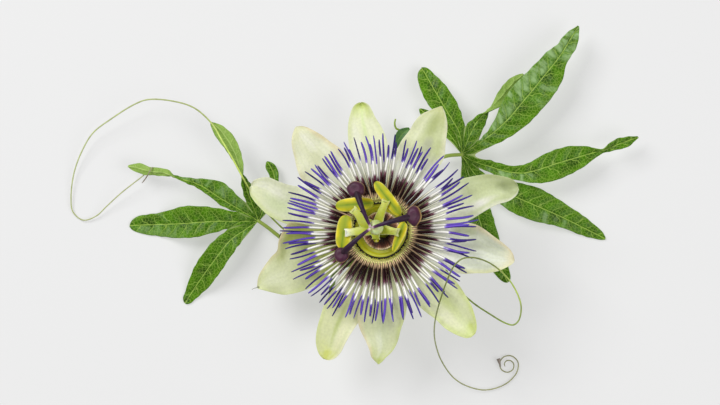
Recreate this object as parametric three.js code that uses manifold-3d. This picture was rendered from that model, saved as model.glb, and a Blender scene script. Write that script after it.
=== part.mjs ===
// Passion flower on a short piece of vine, laid down with the bloom facing up.
// Millimetres, +Z up, the surface that it lies on is z = 0.
import * as THREE from 'three';
import { mergeVertices } from 'three/addons/utils/BufferGeometryUtils.js';
import Module from 'manifold-3d';

const wasm = await Module();
wasm.setup();

// Driving dimensions (mm, degrees)
const BLOOM_CENTRE = [9.9, -7.9, 26.0];
const BLOOM_TILT = 14;
const BLOOM_TILT_TOWARDS = 162.6;
const TEPAL_ROOT = 11.8;
const SEPAL_THICK = 0.8;
const PETAL_THICK = 0.7;
const SEPAL_LEVEL = -2.6;
const PETAL_LEVEL = -1.2;
const LEAF_THICK = 0.6;
const STEM_RADIUS = 1.2;
const STALK_RADIUS = 1.1;
const PETIOLE_RADIUS = 0.7;
const TENDRIL_RADIUS = 0.42;
const TENDRIL_TIP_RADIUS = 0.3;
const FILAMENTS_PER_ROW = 58;
const FILAMENT_RADIUS = 0.42;
const FILAMENT_TIP_RADIUS = 0.3;
const FILAMENT_START = 11.8;
const CORONA_STRETCH = 1.1;
const COLUMN_TOP = 9.4;
const OVARY_LEAN = [1, 0.4];
const LIE_FLAT = LEAF_THICK / 2;
const WELD_DISTANCE = 1e-4;

// Colours
const GREEN_LEAF = 0x4f8a24;
const GREEN_STEM = 0x7d9a3e;
const GREEN_TENDRIL = 0x93a45c;
const GREEN_YOUNG = 0x4a7a35;
const GREEN_BRACT = 0x8fb35a;
const SEPAL_TINT = 0xd6e2a8;
const PETAL_TINT = 0xdde3b8;
const CUP_TINT = 0xc3cc58;
const DARK_RING = 0x2a1714;
const FRINGE_TINT = 0x5c2a3a;
const VIOLET = 0x4a34a2;
const COLUMN_TINT = 0xc6d78e;
const OVARY_TINT = 0xcadb9c;
const ANTHER_TINT = 0xb9ba30;
const STYLE_TINT = 0x4b2038;

// Shared shaping functions
function add(a, b, k = 1) {
  return [a[0] + b[0] * k, a[1] + b[1] * k, a[2] + b[2] * k];
}

function unit(v) {
  const length = Math.hypot(v[0], v[1], v[2]) || 1;
  return [v[0] / length, v[1] / length, v[2] / length];
}

function cross(a, b) {
  return [
    a[1] * b[2] - a[2] * b[1],
    a[2] * b[0] - a[0] * b[2],
    a[0] * b[1] - a[1] * b[0],
  ];
}

function mix(a, b, t) {
  return [a[0] + (b[0] - a[0]) * t, a[1] + (b[1] - a[1]) * t, a[2] + (b[2] - a[2]) * t];
}

function rad(degrees) {
  return degrees * Math.PI / 180;
}

function randomFrom(seed) {
  let state = seed;
  return () => {
    state = (state * 1664525 + 1013904223) % 4294967296;
    return state / 4294967296;
  };
}

// A sheet given by its middle surface becomes a closed blade: both faces keep
// the same triangles and the free edges are walled.
function thicken(body, thickness) {
  const { vertices, triangles } = body;
  const count = vertices.length;
  const normals = vertices.map(() => [0, 0, 0]);
  const edges = new Map();
  for (const [a, b, c] of triangles) {
    const face = cross(add(vertices[b], vertices[a], -1), add(vertices[c], vertices[a], -1));
    for (const i of [a, b, c]) {
      normals[i] = add(normals[i], face);
    }
    for (const [p, q] of [[a, b], [b, c], [c, a]]) {
      edges.set(`${p},${q}`, [p, q]);
    }
  }
  const top = vertices.map((v, i) => add(v, unit(normals[i]), thickness / 2));
  const bottom = vertices.map((v, i) => add(v, unit(normals[i]), -thickness / 2));
  const faces = triangles.map((t) => [...t]);
  for (const [a, b, c] of triangles) {
    faces.push([a + count, c + count, b + count]);
  }
  for (const [p, q] of edges.values()) {
    if (!edges.has(`${q},${p}`)) {
      faces.push([q, p, p + count]);
      faces.push([q, p + count, q + count]);
    }
  }
  return { vertices: [...top, ...bottom], triangles: faces };
}

// The vertices and triangles of a three.js geometry, with its seams welded.
function bodyOf(geometry) {
  geometry.deleteAttribute('normal');
  geometry.deleteAttribute('uv');
  const welded = mergeVertices(geometry, WELD_DISTANCE);
  const at = welded.getAttribute('position');
  const vertices = [];
  for (let i = 0; i < at.count; i += 1) {
    vertices.push([at.getX(i), at.getY(i), at.getZ(i)]);
  }
  const triangles = [];
  for (let i = 0; i < welded.index.count; i += 3) {
    const [a, b, c] = [0, 1, 2].map((k) => welded.index.getX(i + k));
    if (a !== b && b !== c && c !== a) {
      triangles.push([a, b, c]);
    }
  }
  return { vertices, triangles };
}

// A tube along the smooth curve through the points: an extruded polygon whose
// rings are drawn in to their own radii, and pressed flat where flatten is under 1.
function tube(points, radii, sides, flatten = 1) {
  const steps = radii.length - 1;
  const widest = Math.max(...radii);
  const path = new THREE.CatmullRomCurve3(points.map((p) => new THREE.Vector3(...p)), false, 'centripetal');
  const section = new THREE.Shape(Array.from({ length: sides }, (unused, k) => {
    const angle = 2 * Math.PI * (k + 0.5) / sides;
    return new THREE.Vector2(widest * Math.cos(angle), widest * Math.sin(angle));
  }));
  const body = bodyOf(new THREE.ExtrudeGeometry(section, { steps, bevelEnabled: false, extrudePath: path }));
  const centres = path.getSpacedPoints(steps).map((p) => [p.x, p.y, p.z]);
  body.vertices = body.vertices.map((vertex) => {
    const gaps = centres.map((centre) => Math.hypot(...add(vertex, centre, -1)));
    const ring = gaps.indexOf(Math.min(...gaps));
    const offset = add(vertex, centres[ring], -1);
    const drawn = radii[ring] / widest;
    return add(centres[ring], [offset[0], offset[1], offset[2] * flatten], drawn);
  });
  return body;
}

function taper(from, to, count) {
  return Array.from({ length: count + 1 }, (unused, i) => from + (to - from) * i / count);
}

// A body of revolution about Z from a profile of [radius, height] pairs that
// starts and ends on the axis, or closes on itself, and runs counter-clockwise.
function turned(profile, sides) {
  const lathe = new THREE.LatheGeometry(profile.map((p) => new THREE.Vector2(...p)), sides);
  lathe.rotateX(Math.PI / 2);
  return bodyOf(lathe);
}

function hoop(section, sides) {
  return turned([...section, section[0]], sides);
}

function ellipsoid(centre, radii, sides, rings) {
  const ball = new THREE.SphereGeometry(1, sides, rings);
  ball.rotateX(Math.PI / 2);
  ball.scale(...radii);
  ball.translate(...centre);
  return bodyOf(ball);
}

function toSolid(body) {
  return new wasm.Manifold(new wasm.Mesh({
    numProp: 3,
    vertProperties: new Float32Array(body.vertices.flat()),
    triVerts: new Uint32Array(body.triangles.flat()),
  }));
}

function grownTogether(bodies) {
  const mesh = wasm.Manifold.union(bodies.map(toSolid)).getMesh();
  const vertices = [];
  const triangles = [];
  for (let i = 0; i < mesh.vertProperties.length; i += mesh.numProp) {
    vertices.push([mesh.vertProperties[i], mesh.vertProperties[i + 1], mesh.vertProperties[i + 2]]);
  }
  for (let i = 0; i < mesh.triVerts.length; i += 3) {
    triangles.push([mesh.triVerts[i], mesh.triVerts[i + 1], mesh.triVerts[i + 2]]);
  }
  return { vertices, triangles };
}

function piece(name, body, colour, roughness) {
  const geometry = new THREE.BufferGeometry();
  geometry.setAttribute('position', new THREE.Float32BufferAttribute(body.vertices.flat(), 3));
  geometry.setIndex(body.triangles.flat());
  geometry.computeVertexNormals();
  const material = new THREE.MeshStandardMaterial({ color: colour, roughness, metalness: 0 });
  const mesh = new THREE.Mesh(geometry, material);
  mesh.name = name;
  return mesh;
}

// Palmate leaves
// Each lobe is a list of cross rows along its midrib:
// [x, y, z, width to the left, width to the right, twist in degrees].
// Left is the counter-clockwise side seen from above. The first two rows lie
// in the web, where neighbouring lobes share the line from the hub to the sinus.
const LEFT_HUB = [-34.9, -4.6, 4];
const LEFT_SINUSES = [[-33.7, 0.5, 5], [-39.1, 1.6, 6.2], [-40.8, -1.7, 6], [-45.6, -7.1, 6]];
const LEFT_LOBES = [
  [
    [-34.1, -2.7, 4.4, 0, 0.9, 0], [-33.3, -0.6, 4.8, 0, 1.9, 0], [-32.3, 2, 4.7, 1.7, 2.6, 0],
    [-31.1, 4.6, 4.5, 2.2, 3, 0], [-29.5, 7.9, 4, 2.3, 2.6, 0], [-28.8, 11.4, 3.2, 1.7, 1.2, 0],
    [-30.1, 14.7, 2.6, 2.1, 2.3, 0], [-31.3, 16.4, 2.3, 1.5, 1.4, 0], [-32.1, 17.3, 2.2, 0.3, 0.3, 0],
  ],
  [
    [-36, -1.8, 5, 0, 0, 0], [-37, 1, 6, 0, 0, 0], [-37.9, 3.3, 7, 1.8, 3, 0],
    [-39.3, 7.4, 8.2, 1.6, 2.6, 0], [-40.4, 10.6, 9, 1.2, 1.5, 40], [-40.9, 12.6, 9.5, 1.1, 1.1, 90],
    [-41.4, 14.6, 9.9, 1.4, 1.3, 140], [-42.2, 17.2, 10.4, 1.7, 1.7, 170], [-43.6, 21.3, 11, 2.4, 2.3, 180],
    [-46.2, 25.6, 11.5, 2.7, 3.1, 180], [-49.1, 29.4, 11.5, 1.5, 2.7, 180],
    [-50.9, 30.7, 11.5, 0.9, 1.6, 180], [-52, 31.3, 11.5, 0.3, 0.3, 180],
  ],
  [
    [-38, -2.75, 5.1, 0, 0, 0], [-41.1, -0.9, 6.2, 0, 0, 0], [-44.9, 1.4, 7, 2.2, 4.1, 0],
    [-49.3, 4, 8, 2, 5.7, 0], [-52.7, 6.4, 8.5, 1.6, 5.1, 0], [-55, 8, 8.5, 1.5, 3.2, 0],
    [-58.6, 9.6, 8.5, 1.3, 1.5, 15], [-62.4, 10.4, 8.4, 1.2, 1.2, 45], [-65.8, 11.7, 8.2, 1, 1, 90],
    [-67.6, 12.7, 8.1, 1.3, 1.3, 140], [-69.8, 13.4, 7.9, 1.6, 1.4, 170], [-74.7, 13.5, 7.2, 1.4, 1.4, 180],
    [-78.4, 14.7, 6.5, 2.1, 2, 180], [-81, 15.3, 6, 1.3, 1.3, 180], [-82.7, 15.6, 5.6, 0.3, 0.3, 180],
  ],
  [
    [-39.6, -4.6, 5.1, 0, 0, 0], [-44.6, -4.6, 6.3, 0, 0, 0], [-48.3, -4.65, 6.8, 3.4, 4.5, 0],
    [-51.5, -4.7, 7, 4.2, 5.2, 0], [-57.8, -5.2, 6.4, 5.5, 6.4, 0], [-63.6, -5.6, 4.4, 5.4, 6.4, 0],
    [-68, -5.8, 1.8, 5, 5, 0], [-71.5, -5.9, LIE_FLAT, 4.5, 4.3, 0], [-74.5, -6, LIE_FLAT, 4, 3.8, 0],
    [-78, -6.1, LIE_FLAT, 3, 3.3, 0], [-81, -6.2, LIE_FLAT, 1.7, 2, 0], [-82.8, -6.3, LIE_FLAT, 0.3, 0.3, 0],
  ],
  [
    [-38.2, -6.6, 5, 1.2, 0, 0], [-41.6, -9, 5.9, 2.6, 0, 0], [-44.8, -11, 6.5, 3.6, 3.4, 0],
    [-47.7, -14.4, 6.9, 4.1, 4.6, 0], [-51.2, -19.2, 6.2, 4.3, 5, 0], [-54, -22.8, 4.7, 4.4, 4.7, 0],
    [-56.5, -26.2, 2.8, 4.4, 4.1, 0], [-58.8, -29.6, 1, 3.3, 2.9, 0], [-60.7, -32.5, LIE_FLAT, 2, 1.7, 0],
    [-61.7, -34.1, LIE_FLAT, 1.1, 0.9, 0], [-62.3, -35.1, LIE_FLAT, 0.3, 0.3, 0],
  ],
];

const RIGHT_HUB = [40, 20, 4];
const RIGHT_SINUSES = [
  [42.9, 10.5, 4.4], [45.8, 15.2, 5.4], [43.3, 19.6, 5.4],
  [45.5, 24.2, 6], [40.8, 29.8, 5.6], [38.8, 25.2, 4.6],
];
const RIGHT_LOBES = [
  [
    [40.7, 16.4, 4.3, 0, 0.9, 0], [41.4, 12.8, 4.4, 0, 2, 0], [42.4, 9.6, 4.3, 1.7, 2.8, 0],
    [43.6, 6.4, 4.1, 2.6, 3.5, 0], [45.1, 1.6, 3.6, 4.2, 4.2, 0], [46.2, -3.2, 2.9, 5.2, 4.2, 0],
    [47.5, -7.8, 2.1, 5.2, 4.3, 0], [50, -13.5, 1, 4.4, 4.4, 0], [52.8, -18.9, LIE_FLAT, 3.4, 3.7, 0],
    [55.3, -23.5, LIE_FLAT, 2.4, 2.6, 0], [56.4, -25.6, LIE_FLAT, 1.4, 1.5, 0],
    [57.1, -27.4, LIE_FLAT, 0.3, 0.3, 0],
  ],
  [
    [42.1, 16.4, 4.5, 0, 0, 0], [44.2, 12.9, 4.8, 0, 0, 0], [47, 10.8, 4.4, 2, 3, 0],
    [50.5, 8.7, 4.1, 3, 4, 0], [54, 6.8, 3.8, 4.1, 4.4, 0], [59.9, 4.1, 3.8, 5.6, 5.7, 0],
    [65.2, 1.9, 3.6, 6.6, 6, 0], [71.1, -0.6, 3, 5.9, 5.2, 0], [77.1, -3.2, 2.1, 4.8, 3.6, 0],
    [81.1, -5.2, 1.4, 4.3, 3.3, 0], [85.5, -7.4, 0.7, 3.6, 2.9, 0], [89.6, -9.4, LIE_FLAT, 2.1, 1.7, 0],
    [91.8, -10.5, LIE_FLAT, 1.1, 0.9, 0], [93.2, -11.2, LIE_FLAT, 0.3, 0.3, 0],
  ],
  [
    [41.5, 18.7, 4.6, 0, 0, 0], [43.4, 17.6, 5.3, 0, 0, 0], [46, 16.6, 6, 1.6, 1.5, 0],
    [48.6, 15.9, 6.7, 2.3, 1.9, 0], [52.7, 14.5, 7.4, 2.2, 2.4, 0], [57.4, 13.2, 8, 2.5, 2.4, 0],
    [62.5, 12.8, 8.4, 2.7, 3.2, 0], [68.4, 14.3, 8.6, 4.3, 5.6, 0], [73.3, 16.2, 8.8, 4.9, 5.8, 0],
    [78.2, 17.6, 8.8, 5.2, 5.3, 0], [83.2, 19.1, 8.6, 4.3, 4.1, 0], [88.1, 20.6, 8.4, 2.3, 2.1, 20],
    [91.6, 21.4, 8.2, 1.2, 1.2, 70], [94, 22.3, 8.1, 1.8, 1.5, 25], [96.5, 23.3, 7.9, 2.2, 1.8, 0],
    [99.8, 24.5, 7.6, 1.9, 2.3, 0], [102.5, 25.5, 7.3, 1.2, 1.3, 0], [104.5, 26.2, 7, 0.3, 0.3, 0],
  ],
  [
    [41.8, 21.1, 4.9, 0, 0, 0], [43.9, 22.3, 5.8, 0, 0, 0], [47.1, 24.6, 7.3, 1, 3, 0],
    [49.5, 26.4, 8.1, 1.5, 3.9, 0], [52.1, 28.4, 8.8, 2.3, 4.6, 0], [57.1, 33, 10, 5.2, 6.2, 0],
    [60.8, 37.7, 10.7, 6.6, 7.1, 0], [66, 43.8, 11, 6.2, 7.1, 0], [69.9, 48.8, 10.8, 5.3, 6.5, 0],
    [74.3, 54, 10.4, 4.8, 4.6, 0], [77.4, 58.5, 10, 3.4, 3.6, 0], [79.5, 62.2, 9.6, 2.6, 3.1, 0],
    [81.3, 65.1, 9.2, 1.4, 1.5, 0], [82.4, 66.8, 9, 0.3, 0.3, 0],
  ],
  [
    [41.1, 22.7, 4.5, 0, 0, 0], [42.4, 26.2, 5, 0, 0, 0], [44, 29.6, 5, 2.7, 3.5, 0],
    [45.3, 31.9, 5, 1.9, 3.4, 5], [47.3, 34.2, 5, 1.3, 2.4, 30], [49.7, 36.2, 4.9, 1.2, 1.5, 90],
    [51.6, 38, 4.8, 2, 1.4, 140], [53.6, 40.2, 4.6, 2.7, 1.7, 170], [55.8, 42.9, 4.2, 3, 2.1, 180],
    [58.4, 46, 3.8, 2.9, 2.3, 180], [61, 48.2, 3.5, 1.7, 1.4, 180], [62.6, 49.4, 3.4, 0.3, 0.3, 180],
  ],
  [
    [39.8, 22.9, 4.6, 0, 0, 0], [39.6, 26.2, 5.4, 0, 0, 0], [38.2, 29.6, 6.3, 1.7, 3, 0],
    [36.4, 32.2, 6.8, 2.5, 4, 0], [34.8, 34.9, 7, 3.2, 4.6, 0], [32.5, 38.7, 7, 4.6, 5, 0],
    [29.8, 43.4, 6.2, 4.8, 4.4, 0], [28.4, 46, 5.4, 4.4, 3.5, 0], [27.2, 48.2, 4.6, 3.6, 2.5, 0],
    [26, 50.4, 3.6, 2.1, 1.3, 0], [25.2, 51.8, 3, 0.3, 0.3, 0],
  ],
  [
    [39.2, 21.7, 3.9, 0.6, 0, 0], [38, 23.8, 3.8, 1, 0, 0], [36.4, 26.2, 3.5, 1.6, 1.8, 0],
    [34.4, 28.4, 3.3, 2.2, 2.6, 0], [32, 30.5, 3.1, 2.5, 3, 0], [29.4, 32.7, 2.8, 2.5, 2.7, 0],
    [27.3, 34.4, 2.5, 2.2, 1.9, 0], [25.5, 35.9, 2.1, 1.4, 1.2, 0], [24.4, 36.8, 2, 0.3, 0.3, 0],
  ],
];

function rowPoint(rows, k, hub, u, phase) {
  const row = rows[k];
  const before = k === 0 ? hub : rows[k - 1];
  const after = rows[Math.min(k + 1, rows.length - 1)];
  const ahead = unit([after[0] - before[0], after[1] - before[1], 0]);
  const across = [-ahead[1], ahead[0], 0];
  const twist = rad(row[5]);
  const leftward = [across[0] * Math.cos(twist), across[1] * Math.cos(twist), Math.sin(twist)];
  const upward = [-across[0] * Math.sin(twist), -across[1] * Math.sin(twist), Math.cos(twist)];
  const width = u > 0 ? row[3] : row[4];
  const lift = Math.min(1, Math.max(0, (row[2] - LIE_FLAT) / 3)) * Math.min(1, width / 2.5);
  const fold = 0.7 * Math.pow(Math.abs(u), 1.6);
  const wave = 0.45 * u * u * Math.sin(k * 2.1 + (u > 0 ? 0 : 2) + phase);
  const flat = add([row[0], row[1], row[2]], leftward, u * width);
  return add(flat, upward, lift * (fold + wave));
}

function palmateBlade(hub, sinuses, lobes) {
  const vertices = [hub];
  const triangles = [];
  const shared = sinuses.map((sinus) => [0.5, 1].map((t) => vertices.push(mix(hub, sinus, t)) - 1));
  lobes.forEach((rows, index) => {
    const onRight = shared[index - 1];
    const onLeft = shared[index];
    const grid = rows.map((row, k) => {
      const web = k < 2;
      const right = web && onRight ? onRight[k] : vertices.push(rowPoint(rows, k, hub, -1, index)) - 1;
      const left = web && onLeft ? onLeft[k] : vertices.push(rowPoint(rows, k, hub, 1, index)) - 1;
      const middle = vertices.push([row[0], row[1], row[2]]) - 1;
      const between = (edge, u) => {
        if (web) {
          return vertices.push(mix(vertices[edge], vertices[middle], 0.5)) - 1;
        }
        return vertices.push(rowPoint(rows, k, hub, u, index)) - 1;
      };
      return [right, between(right, -0.5), middle, between(left, 0.5), left];
    });
    for (let j = 0; j < 4; j += 1) {
      triangles.push([0, grid[0][j], grid[0][j + 1]]);
      for (let k = 0; k < grid.length - 1; k += 1) {
        const [a, b] = [grid[k][j], grid[k][j + 1]];
        const [c, d] = [grid[k + 1][j + 1], grid[k + 1][j]];
        triangles.push([a, d, c]);
        triangles.push([a, c, b]);
      }
    }
  });
  return thicken({ vertices, triangles }, LEAF_THICK);
}

const LEFT_PETIOLE = [
  [-8.1, -22.1, 1.5], [-16, -18.2, 2.2], [-27.4, -10.3, 3.4], [-31.6, -7, 3.8], [-35.4, -4.3, 4],
];
const RIGHT_PETIOLE = [
  [18.75, 3, 1.5], [20.4, 4.5, 1.7], [23, 10.5, 2.2], [29, 17.1, 3], [34.2, 19.3, 3.6], [40.5, 19.9, 4],
];

function leaf(name, hub, sinuses, lobes, petiolePath) {
  const petiole = tube(petiolePath, taper(PETIOLE_RADIUS + 0.15, PETIOLE_RADIUS - 0.1, 10), 7);
  return piece(name, grownTogether([palmateBlade(hub, sinuses, lobes), petiole]), GREEN_LEAF, 0.55);
}

// Stem, flower stalk, tendrils and shoot tip
const STEM_PATH = [
  [-7.2, -41.2, 1.11], [-8, -31, 1.11], [-6.5, -22, 1.11], [-1.3, -13.5, 1.11], [6.8, -5, 1.11],
  [15.2, 0.6, 1.11], [17.6, 6, 1.11], [17.6, 12, 1.11], [16.7, 18, 1.11], [15.6, 21.6, 1.11],
];
const STALK_PATH = [
  [-6.3, -21.8, 2.62], [-5.9, -21.7, 4], [-3.2, -20.9, 5.6], [3, -18.6, 6.6], [9, -14.8, 8.6],
  [12.2, -10.6, 12], [12.4, -8.8, 15], [12.14, -8.6, 16.6],
];
const LEFT_TENDRIL = [
  [-6.6, -19.1, 1.6], [-9, -18.2, 2.4], [-15.3, -14.6, 4], [-24.8, -8.3, 6], [-31.3, -2, 7.3],
  [-36.2, 4.2, 8.9], [-38.4, 7.8, 10.2], [-40.3, 11.1, 11.6], [-44.2, 18.4, 12.8], [-47.8, 24.6, 13.6],
  [-51.5, 30.8, 13.6], [-58.1, 36.7, 12.6], [-66.3, 39.3, 11], [-75.3, 39.9, 9], [-80.1, 38.3, 8],
  [-89.1, 32.9, 6], [-95.9, 27.8, 4.5], [-100.1, 21.2, 3], [-103.2, 13.1, 1.8], [-104.4, 3.9, 1],
  [-103.7, -1.3, 0.7], [-100, -4.3, 0.7], [-95.1, -2.8, 1.2], [-91, 0.9, 2.2], [-85.6, 5.7, 3.8],
  [-77.3, 12.1, 5.6], [-75.4, 14, 5.7], [-73.7, 15.8, 6.2], [-73.2, 16.3, 7.3], [-73.8, 15.3, 8.6],
  [-75.2, 12.6, 8.6], [-76.3, 11, 7.4], [-77.7, 9.3, 6.4],
];
const RIGHT_TENDRIL = [
  [16.3, -0.5, 1.3], [17.6, -1.8, 1.6], [20, -4.2, 2.4], [28.2, -11.6, 4], [37.3, -28.1, 6], [43.4, -34.2, 9],
  [49.8, -38.5, 13], [54.9, -41.4, 19], [57.6, -42, 22], [59.5, -40, 26], [59.9, -34.4, 31],
  [57.1, -27.8, 35.5], [53.7, -23.5, 38.3], [49.4, -19.9, 40], [45.8, -18.1, 41.2], [41.9, -17.2, 41.8],
  [38.4, -17.7, 41.8], [35.6, -20.2, 41.6], [33.1, -25.5, 40.8], [30.8, -32.4, 38.8], [29.4, -38.3, 34.5],
  [29, -43.7, 28], [30, -49.8, 18], [32.2, -55.7, 12], [36.9, -62.3, 6], [41.9, -65.5, 3],
  [48.6, -67.1, 1], [54.9, -65.6, 0.6], [58.6, -63, 0.5],
];
const COIL_CENTRE = [57.1, -57.9, 0.6];
const COIL_START = -32;
const COIL_SWEEP = 600;

function coilPoints() {
  const points = [];
  for (let angle = 0; angle <= COIL_SWEEP; angle += 50) {
    const radius = 4.1 - 2.9 * angle / COIL_SWEEP;
    const at = rad(COIL_START + angle);
    points.push(add(COIL_CENTRE, [radius * Math.cos(at), radius * Math.sin(at), 0.4 * angle / COIL_SWEEP]));
  }
  return points;
}

const SHOOT_ROWS = [
  [15.45, 22.2, 1.5, 0.6, 0.6, 0], [16, 24.2, 1.7, 0.9, 0.9, 0], [16.9, 25.9, 2, 1.8, 1.7, 0],
  [17.9, 27.3, 2.2, 2.2, 2.1, 0], [19.2, 28.5, 2.2, 1.5, 1.6, 0], [20.7, 29.5, 2, 0.4, 0.4, 0],
];
const SHOOT_TENDRIL = [
  [18, 27.6, 2.2], [16.9, 28.9, 2.3], [15.7, 29.6, 2.6], [15.2, 31.4, 2.8], [15.5, 33, 2.4],
];

function shootTip() {
  const vertices = [];
  const triangles = [];
  const start = [15.7, 21.4, 1.5];
  const grid = SHOOT_ROWS.map((row, k) => [-1, -0.5, 0, 0.5, 1].map((u) => {
    const point = rowPoint(SHOOT_ROWS, k, start, u, 1);
    point[2] += 0.5 * Math.abs(u);
    return vertices.push(point) - 1;
  }));
  for (let k = 0; k < grid.length - 1; k += 1) {
    for (let j = 0; j < 4; j += 1) {
      triangles.push([grid[k][j], grid[k + 1][j], grid[k + 1][j + 1]]);
      triangles.push([grid[k][j], grid[k + 1][j + 1], grid[k][j + 1]]);
    }
  }
  const blade = thicken({ vertices, triangles }, 0.7);
  const curl = tube(SHOOT_TENDRIL, taper(0.45, 0.32, 8), 5);
  return piece('shoot_tip', grownTogether([blade, curl]), GREEN_YOUNG, 0.6);
}

// Sepals and petals, in the bloom's own frame
// Stations run outwards: [distance from the axis, clockwise margin, counter-clockwise margin].
const SEPALS = [
  {
    name: 'sepal_1', angle: 17.4, tip: -4.4,
    stations: [
      [TEPAL_ROOT, -3.5, 3.5], [19, -5.4, 6.4], [26, -6.2, 8.4], [32, -5.8, 9.2], [38, -4.5, 8.6],
      [43, -3.8, 7.5], [47, -3.9, 5.6], [49.5, -2.9, 3.7], [51, -1.3, 2], [51.7, -0.3, 0.6],
    ],
  },
  {
    name: 'sepal_2', angle: 101.2, tip: -5,
    stations: [
      [TEPAL_ROOT, -3.5, 3.5], [19, -6, 5.6], [26, -7.2, 6.4], [32, -7.5, 6.6], [37, -6.6, 6.2],
      [41, -5.1, 5.1], [44, -4.3, 3.7], [46, -3.5, 2.5], [47.2, -2.1, 1.1], [47.6, -1, -0.3],
    ],
  },
  {
    name: 'sepal_3', angle: 162.9, tip: -2.6,
    stations: [
      [TEPAL_ROOT, -3.4, 3.4], [19, -5.8, 6.4], [26, -6.8, 7.8], [33, -6.7, 7.9], [38, -6, 7.6],
      [43, -6, 6.6], [47, -6.5, 4.7], [50, -5.2, 3], [52, -4, 1.3], [53.1, -2.2, -1.2],
    ],
  },
  {
    name: 'sepal_4', angle: 245.4, tip: -5,
    stations: [
      [TEPAL_ROOT, -3.4, 3], [19, -6.4, 4.6], [26, -8, 5.6], [32, -8.7, 5.8], [38, -7.9, 5],
      [42.5, -6.9, 4.7], [46, -5.6, 4.6], [48.8, -3.8, 3.5], [50.2, -2.1, 2.1], [50.8, -0.4, 0.5],
    ],
  },
  {
    name: 'sepal_5', angle: 310.9, tip: -4.6,
    stations: [
      [TEPAL_ROOT, -3.4, 3.4], [19, -6.4, 6.4], [26, -7.6, 8.2], [32, -7.1, 8.5], [37, -5.9, 8],
      [41.5, -5.3, 7.3], [45, -4.1, 6], [47.8, -2.5, 4.5], [49.4, -1.1, 2.9], [50.2, 0.2, 1],
    ],
  },
];

const PETALS = [
  {
    name: 'petal_1', angle: 65.4, tip: -3.6,
    stations: [
      [TEPAL_ROOT, -3.6, 3.6], [19, -6.6, 6.2], [26, -8.6, 7.2], [32, -9.6, 7.3], [37, -8.3, 6.5],
      [41, -7, 5.8], [44.5, -5.3, 4.5], [47, -3.7, 2.5], [48.7, -2.2, 0.8], [49.7, -0.9, -0.3],
    ],
  },
  {
    name: 'petal_2', angle: 130.5, tip: -3.2,
    stations: [
      [TEPAL_ROOT, -3.6, 3.6], [19, -6.4, 6.6], [26, -7.6, 8.8], [33, -7.5, 10.6], [38, -6.1, 9.5],
      [42, -5.2, 7.8], [45.5, -3.9, 5.9], [48, -2.7, 3.9], [49.7, -1.3, 1.9], [50.4, -0.2, 0.5],
    ],
  },
  {
    name: 'petal_3', angle: 202.5, tip: -3, flap: true,
    stations: [
      [TEPAL_ROOT, -3.8, 3.6], [19, -8.2, 6.2], [25, -13, 8], [30, -15.8, 8.8], [33.5, -14.2, 8.8],
      [36.3, -11.3, 8.6], [38.2, -8.6, 8.4], [42, -7.4, 7.5], [46, -5, 5], [49, -2.3, 2.8], [50.8, 0.7, 1.4],
    ],
  },
  {
    name: 'petal_4', angle: 268.2, tip: -3.4,
    stations: [
      [TEPAL_ROOT, -3.6, 3.6], [19, -5.8, 8.2], [25, -7.2, 10.2], [31, -7.8, 9.5], [36, -6.8, 8.1],
      [40, -4.5, 6.8], [43.2, -2.9, 5.2], [45.4, -2.4, 3.1], [47, -1, 1.7], [47.9, 0, 0.5],
    ],
  },
  {
    name: 'petal_5', angle: 346.7, tip: -3.2, roll: true,
    stations: [
      [TEPAL_ROOT, -3.6, 3.6], [19, -6.4, 6.6], [26, -8.2, 9], [32, -8.3, 10], [37, -7, 8.8],
      [41, -5.9, 7.1], [44.5, -4.4, 5.5], [47, -2.6, 4], [48.6, -1.1, 2.3], [49.3, 0, 0.8],
    ],
  },
];

function ramp(x, from, to) {
  const t = Math.min(1, Math.max(0, (x - from) / (to - from)));
  return t * t * (3 - 2 * t);
}

function sepalHeight(spec, along, u) {
  const droop = SEPAL_LEVEL + (spec.tip - SEPAL_LEVEL) * Math.pow((along - TEPAL_ROOT) / 40, 1.5);
  const boat = 2.4 * ramp(along, 32, 46) * Math.pow(Math.abs(u), 2.2);
  const hood = 1.6 * ramp(along, 45, 52);
  const groove = -0.35 * ramp(along, 14, 22) * Math.max(0, 1 - Math.abs(u) * 2);
  return droop + boat + hood + groove;
}

function petalHeight(spec, along, u) {
  const droop = PETAL_LEVEL + (spec.tip - PETAL_LEVEL) * Math.pow((along - TEPAL_ROOT) / 38, 1.4);
  const phase = rad(spec.angle) * 3;
  const wave = 0.75 * ramp(along, 24, 38) * u * u * Math.sin(along * 0.55 + phase + (u > 0 ? 0 : 1.7));
  const lifted = spec.flap ? 2.2 * ramp(-u, 0.45, 1) * ramp(along, 20, 30) * (1 - ramp(along, 36, 40)) : 0;
  const rolled = spec.roll ? 2.4 * ramp(u, 0.4, 1) * ramp(along, 33, 40) * (1 - ramp(along, 43, 48)) : 0;
  return droop + wave + lifted + rolled;
}

function tepal(spec, heightAt, thickness, colour) {
  const vertices = [];
  const triangles = [];
  const columns = [-1, -0.55, 0, 0.55, 1];
  const grid = spec.stations.map(([along, right, left]) => columns.map((u) => {
    const side = (left + right) / 2 + u * (left - right) / 2;
    return vertices.push([along, side, heightAt(spec, along, u)]) - 1;
  }));
  for (let k = 0; k < grid.length - 1; k += 1) {
    for (let j = 0; j < columns.length - 1; j += 1) {
      triangles.push([grid[k][j], grid[k + 1][j], grid[k + 1][j + 1]]);
      triangles.push([grid[k][j], grid[k + 1][j + 1], grid[k][j + 1]]);
    }
  }
  const blade = piece(spec.name, thicken({ vertices, triangles }, thickness), colour, 0.6);
  blade.rotation.z = rad(spec.angle);
  return blade;
}

// Bracts under the bloom
const BRACT_ANGLES = [85, 205, 325];
const BRACT_STATIONS = [
  [1.6, -0.8, 0.8], [4.5, -3, 3], [8.5, -5, 5], [12, -5.2, 5.2],
  [15, -4, 4], [17.2, -2.2, 2.2], [18.6, -0.4, 0.4],
];

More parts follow.
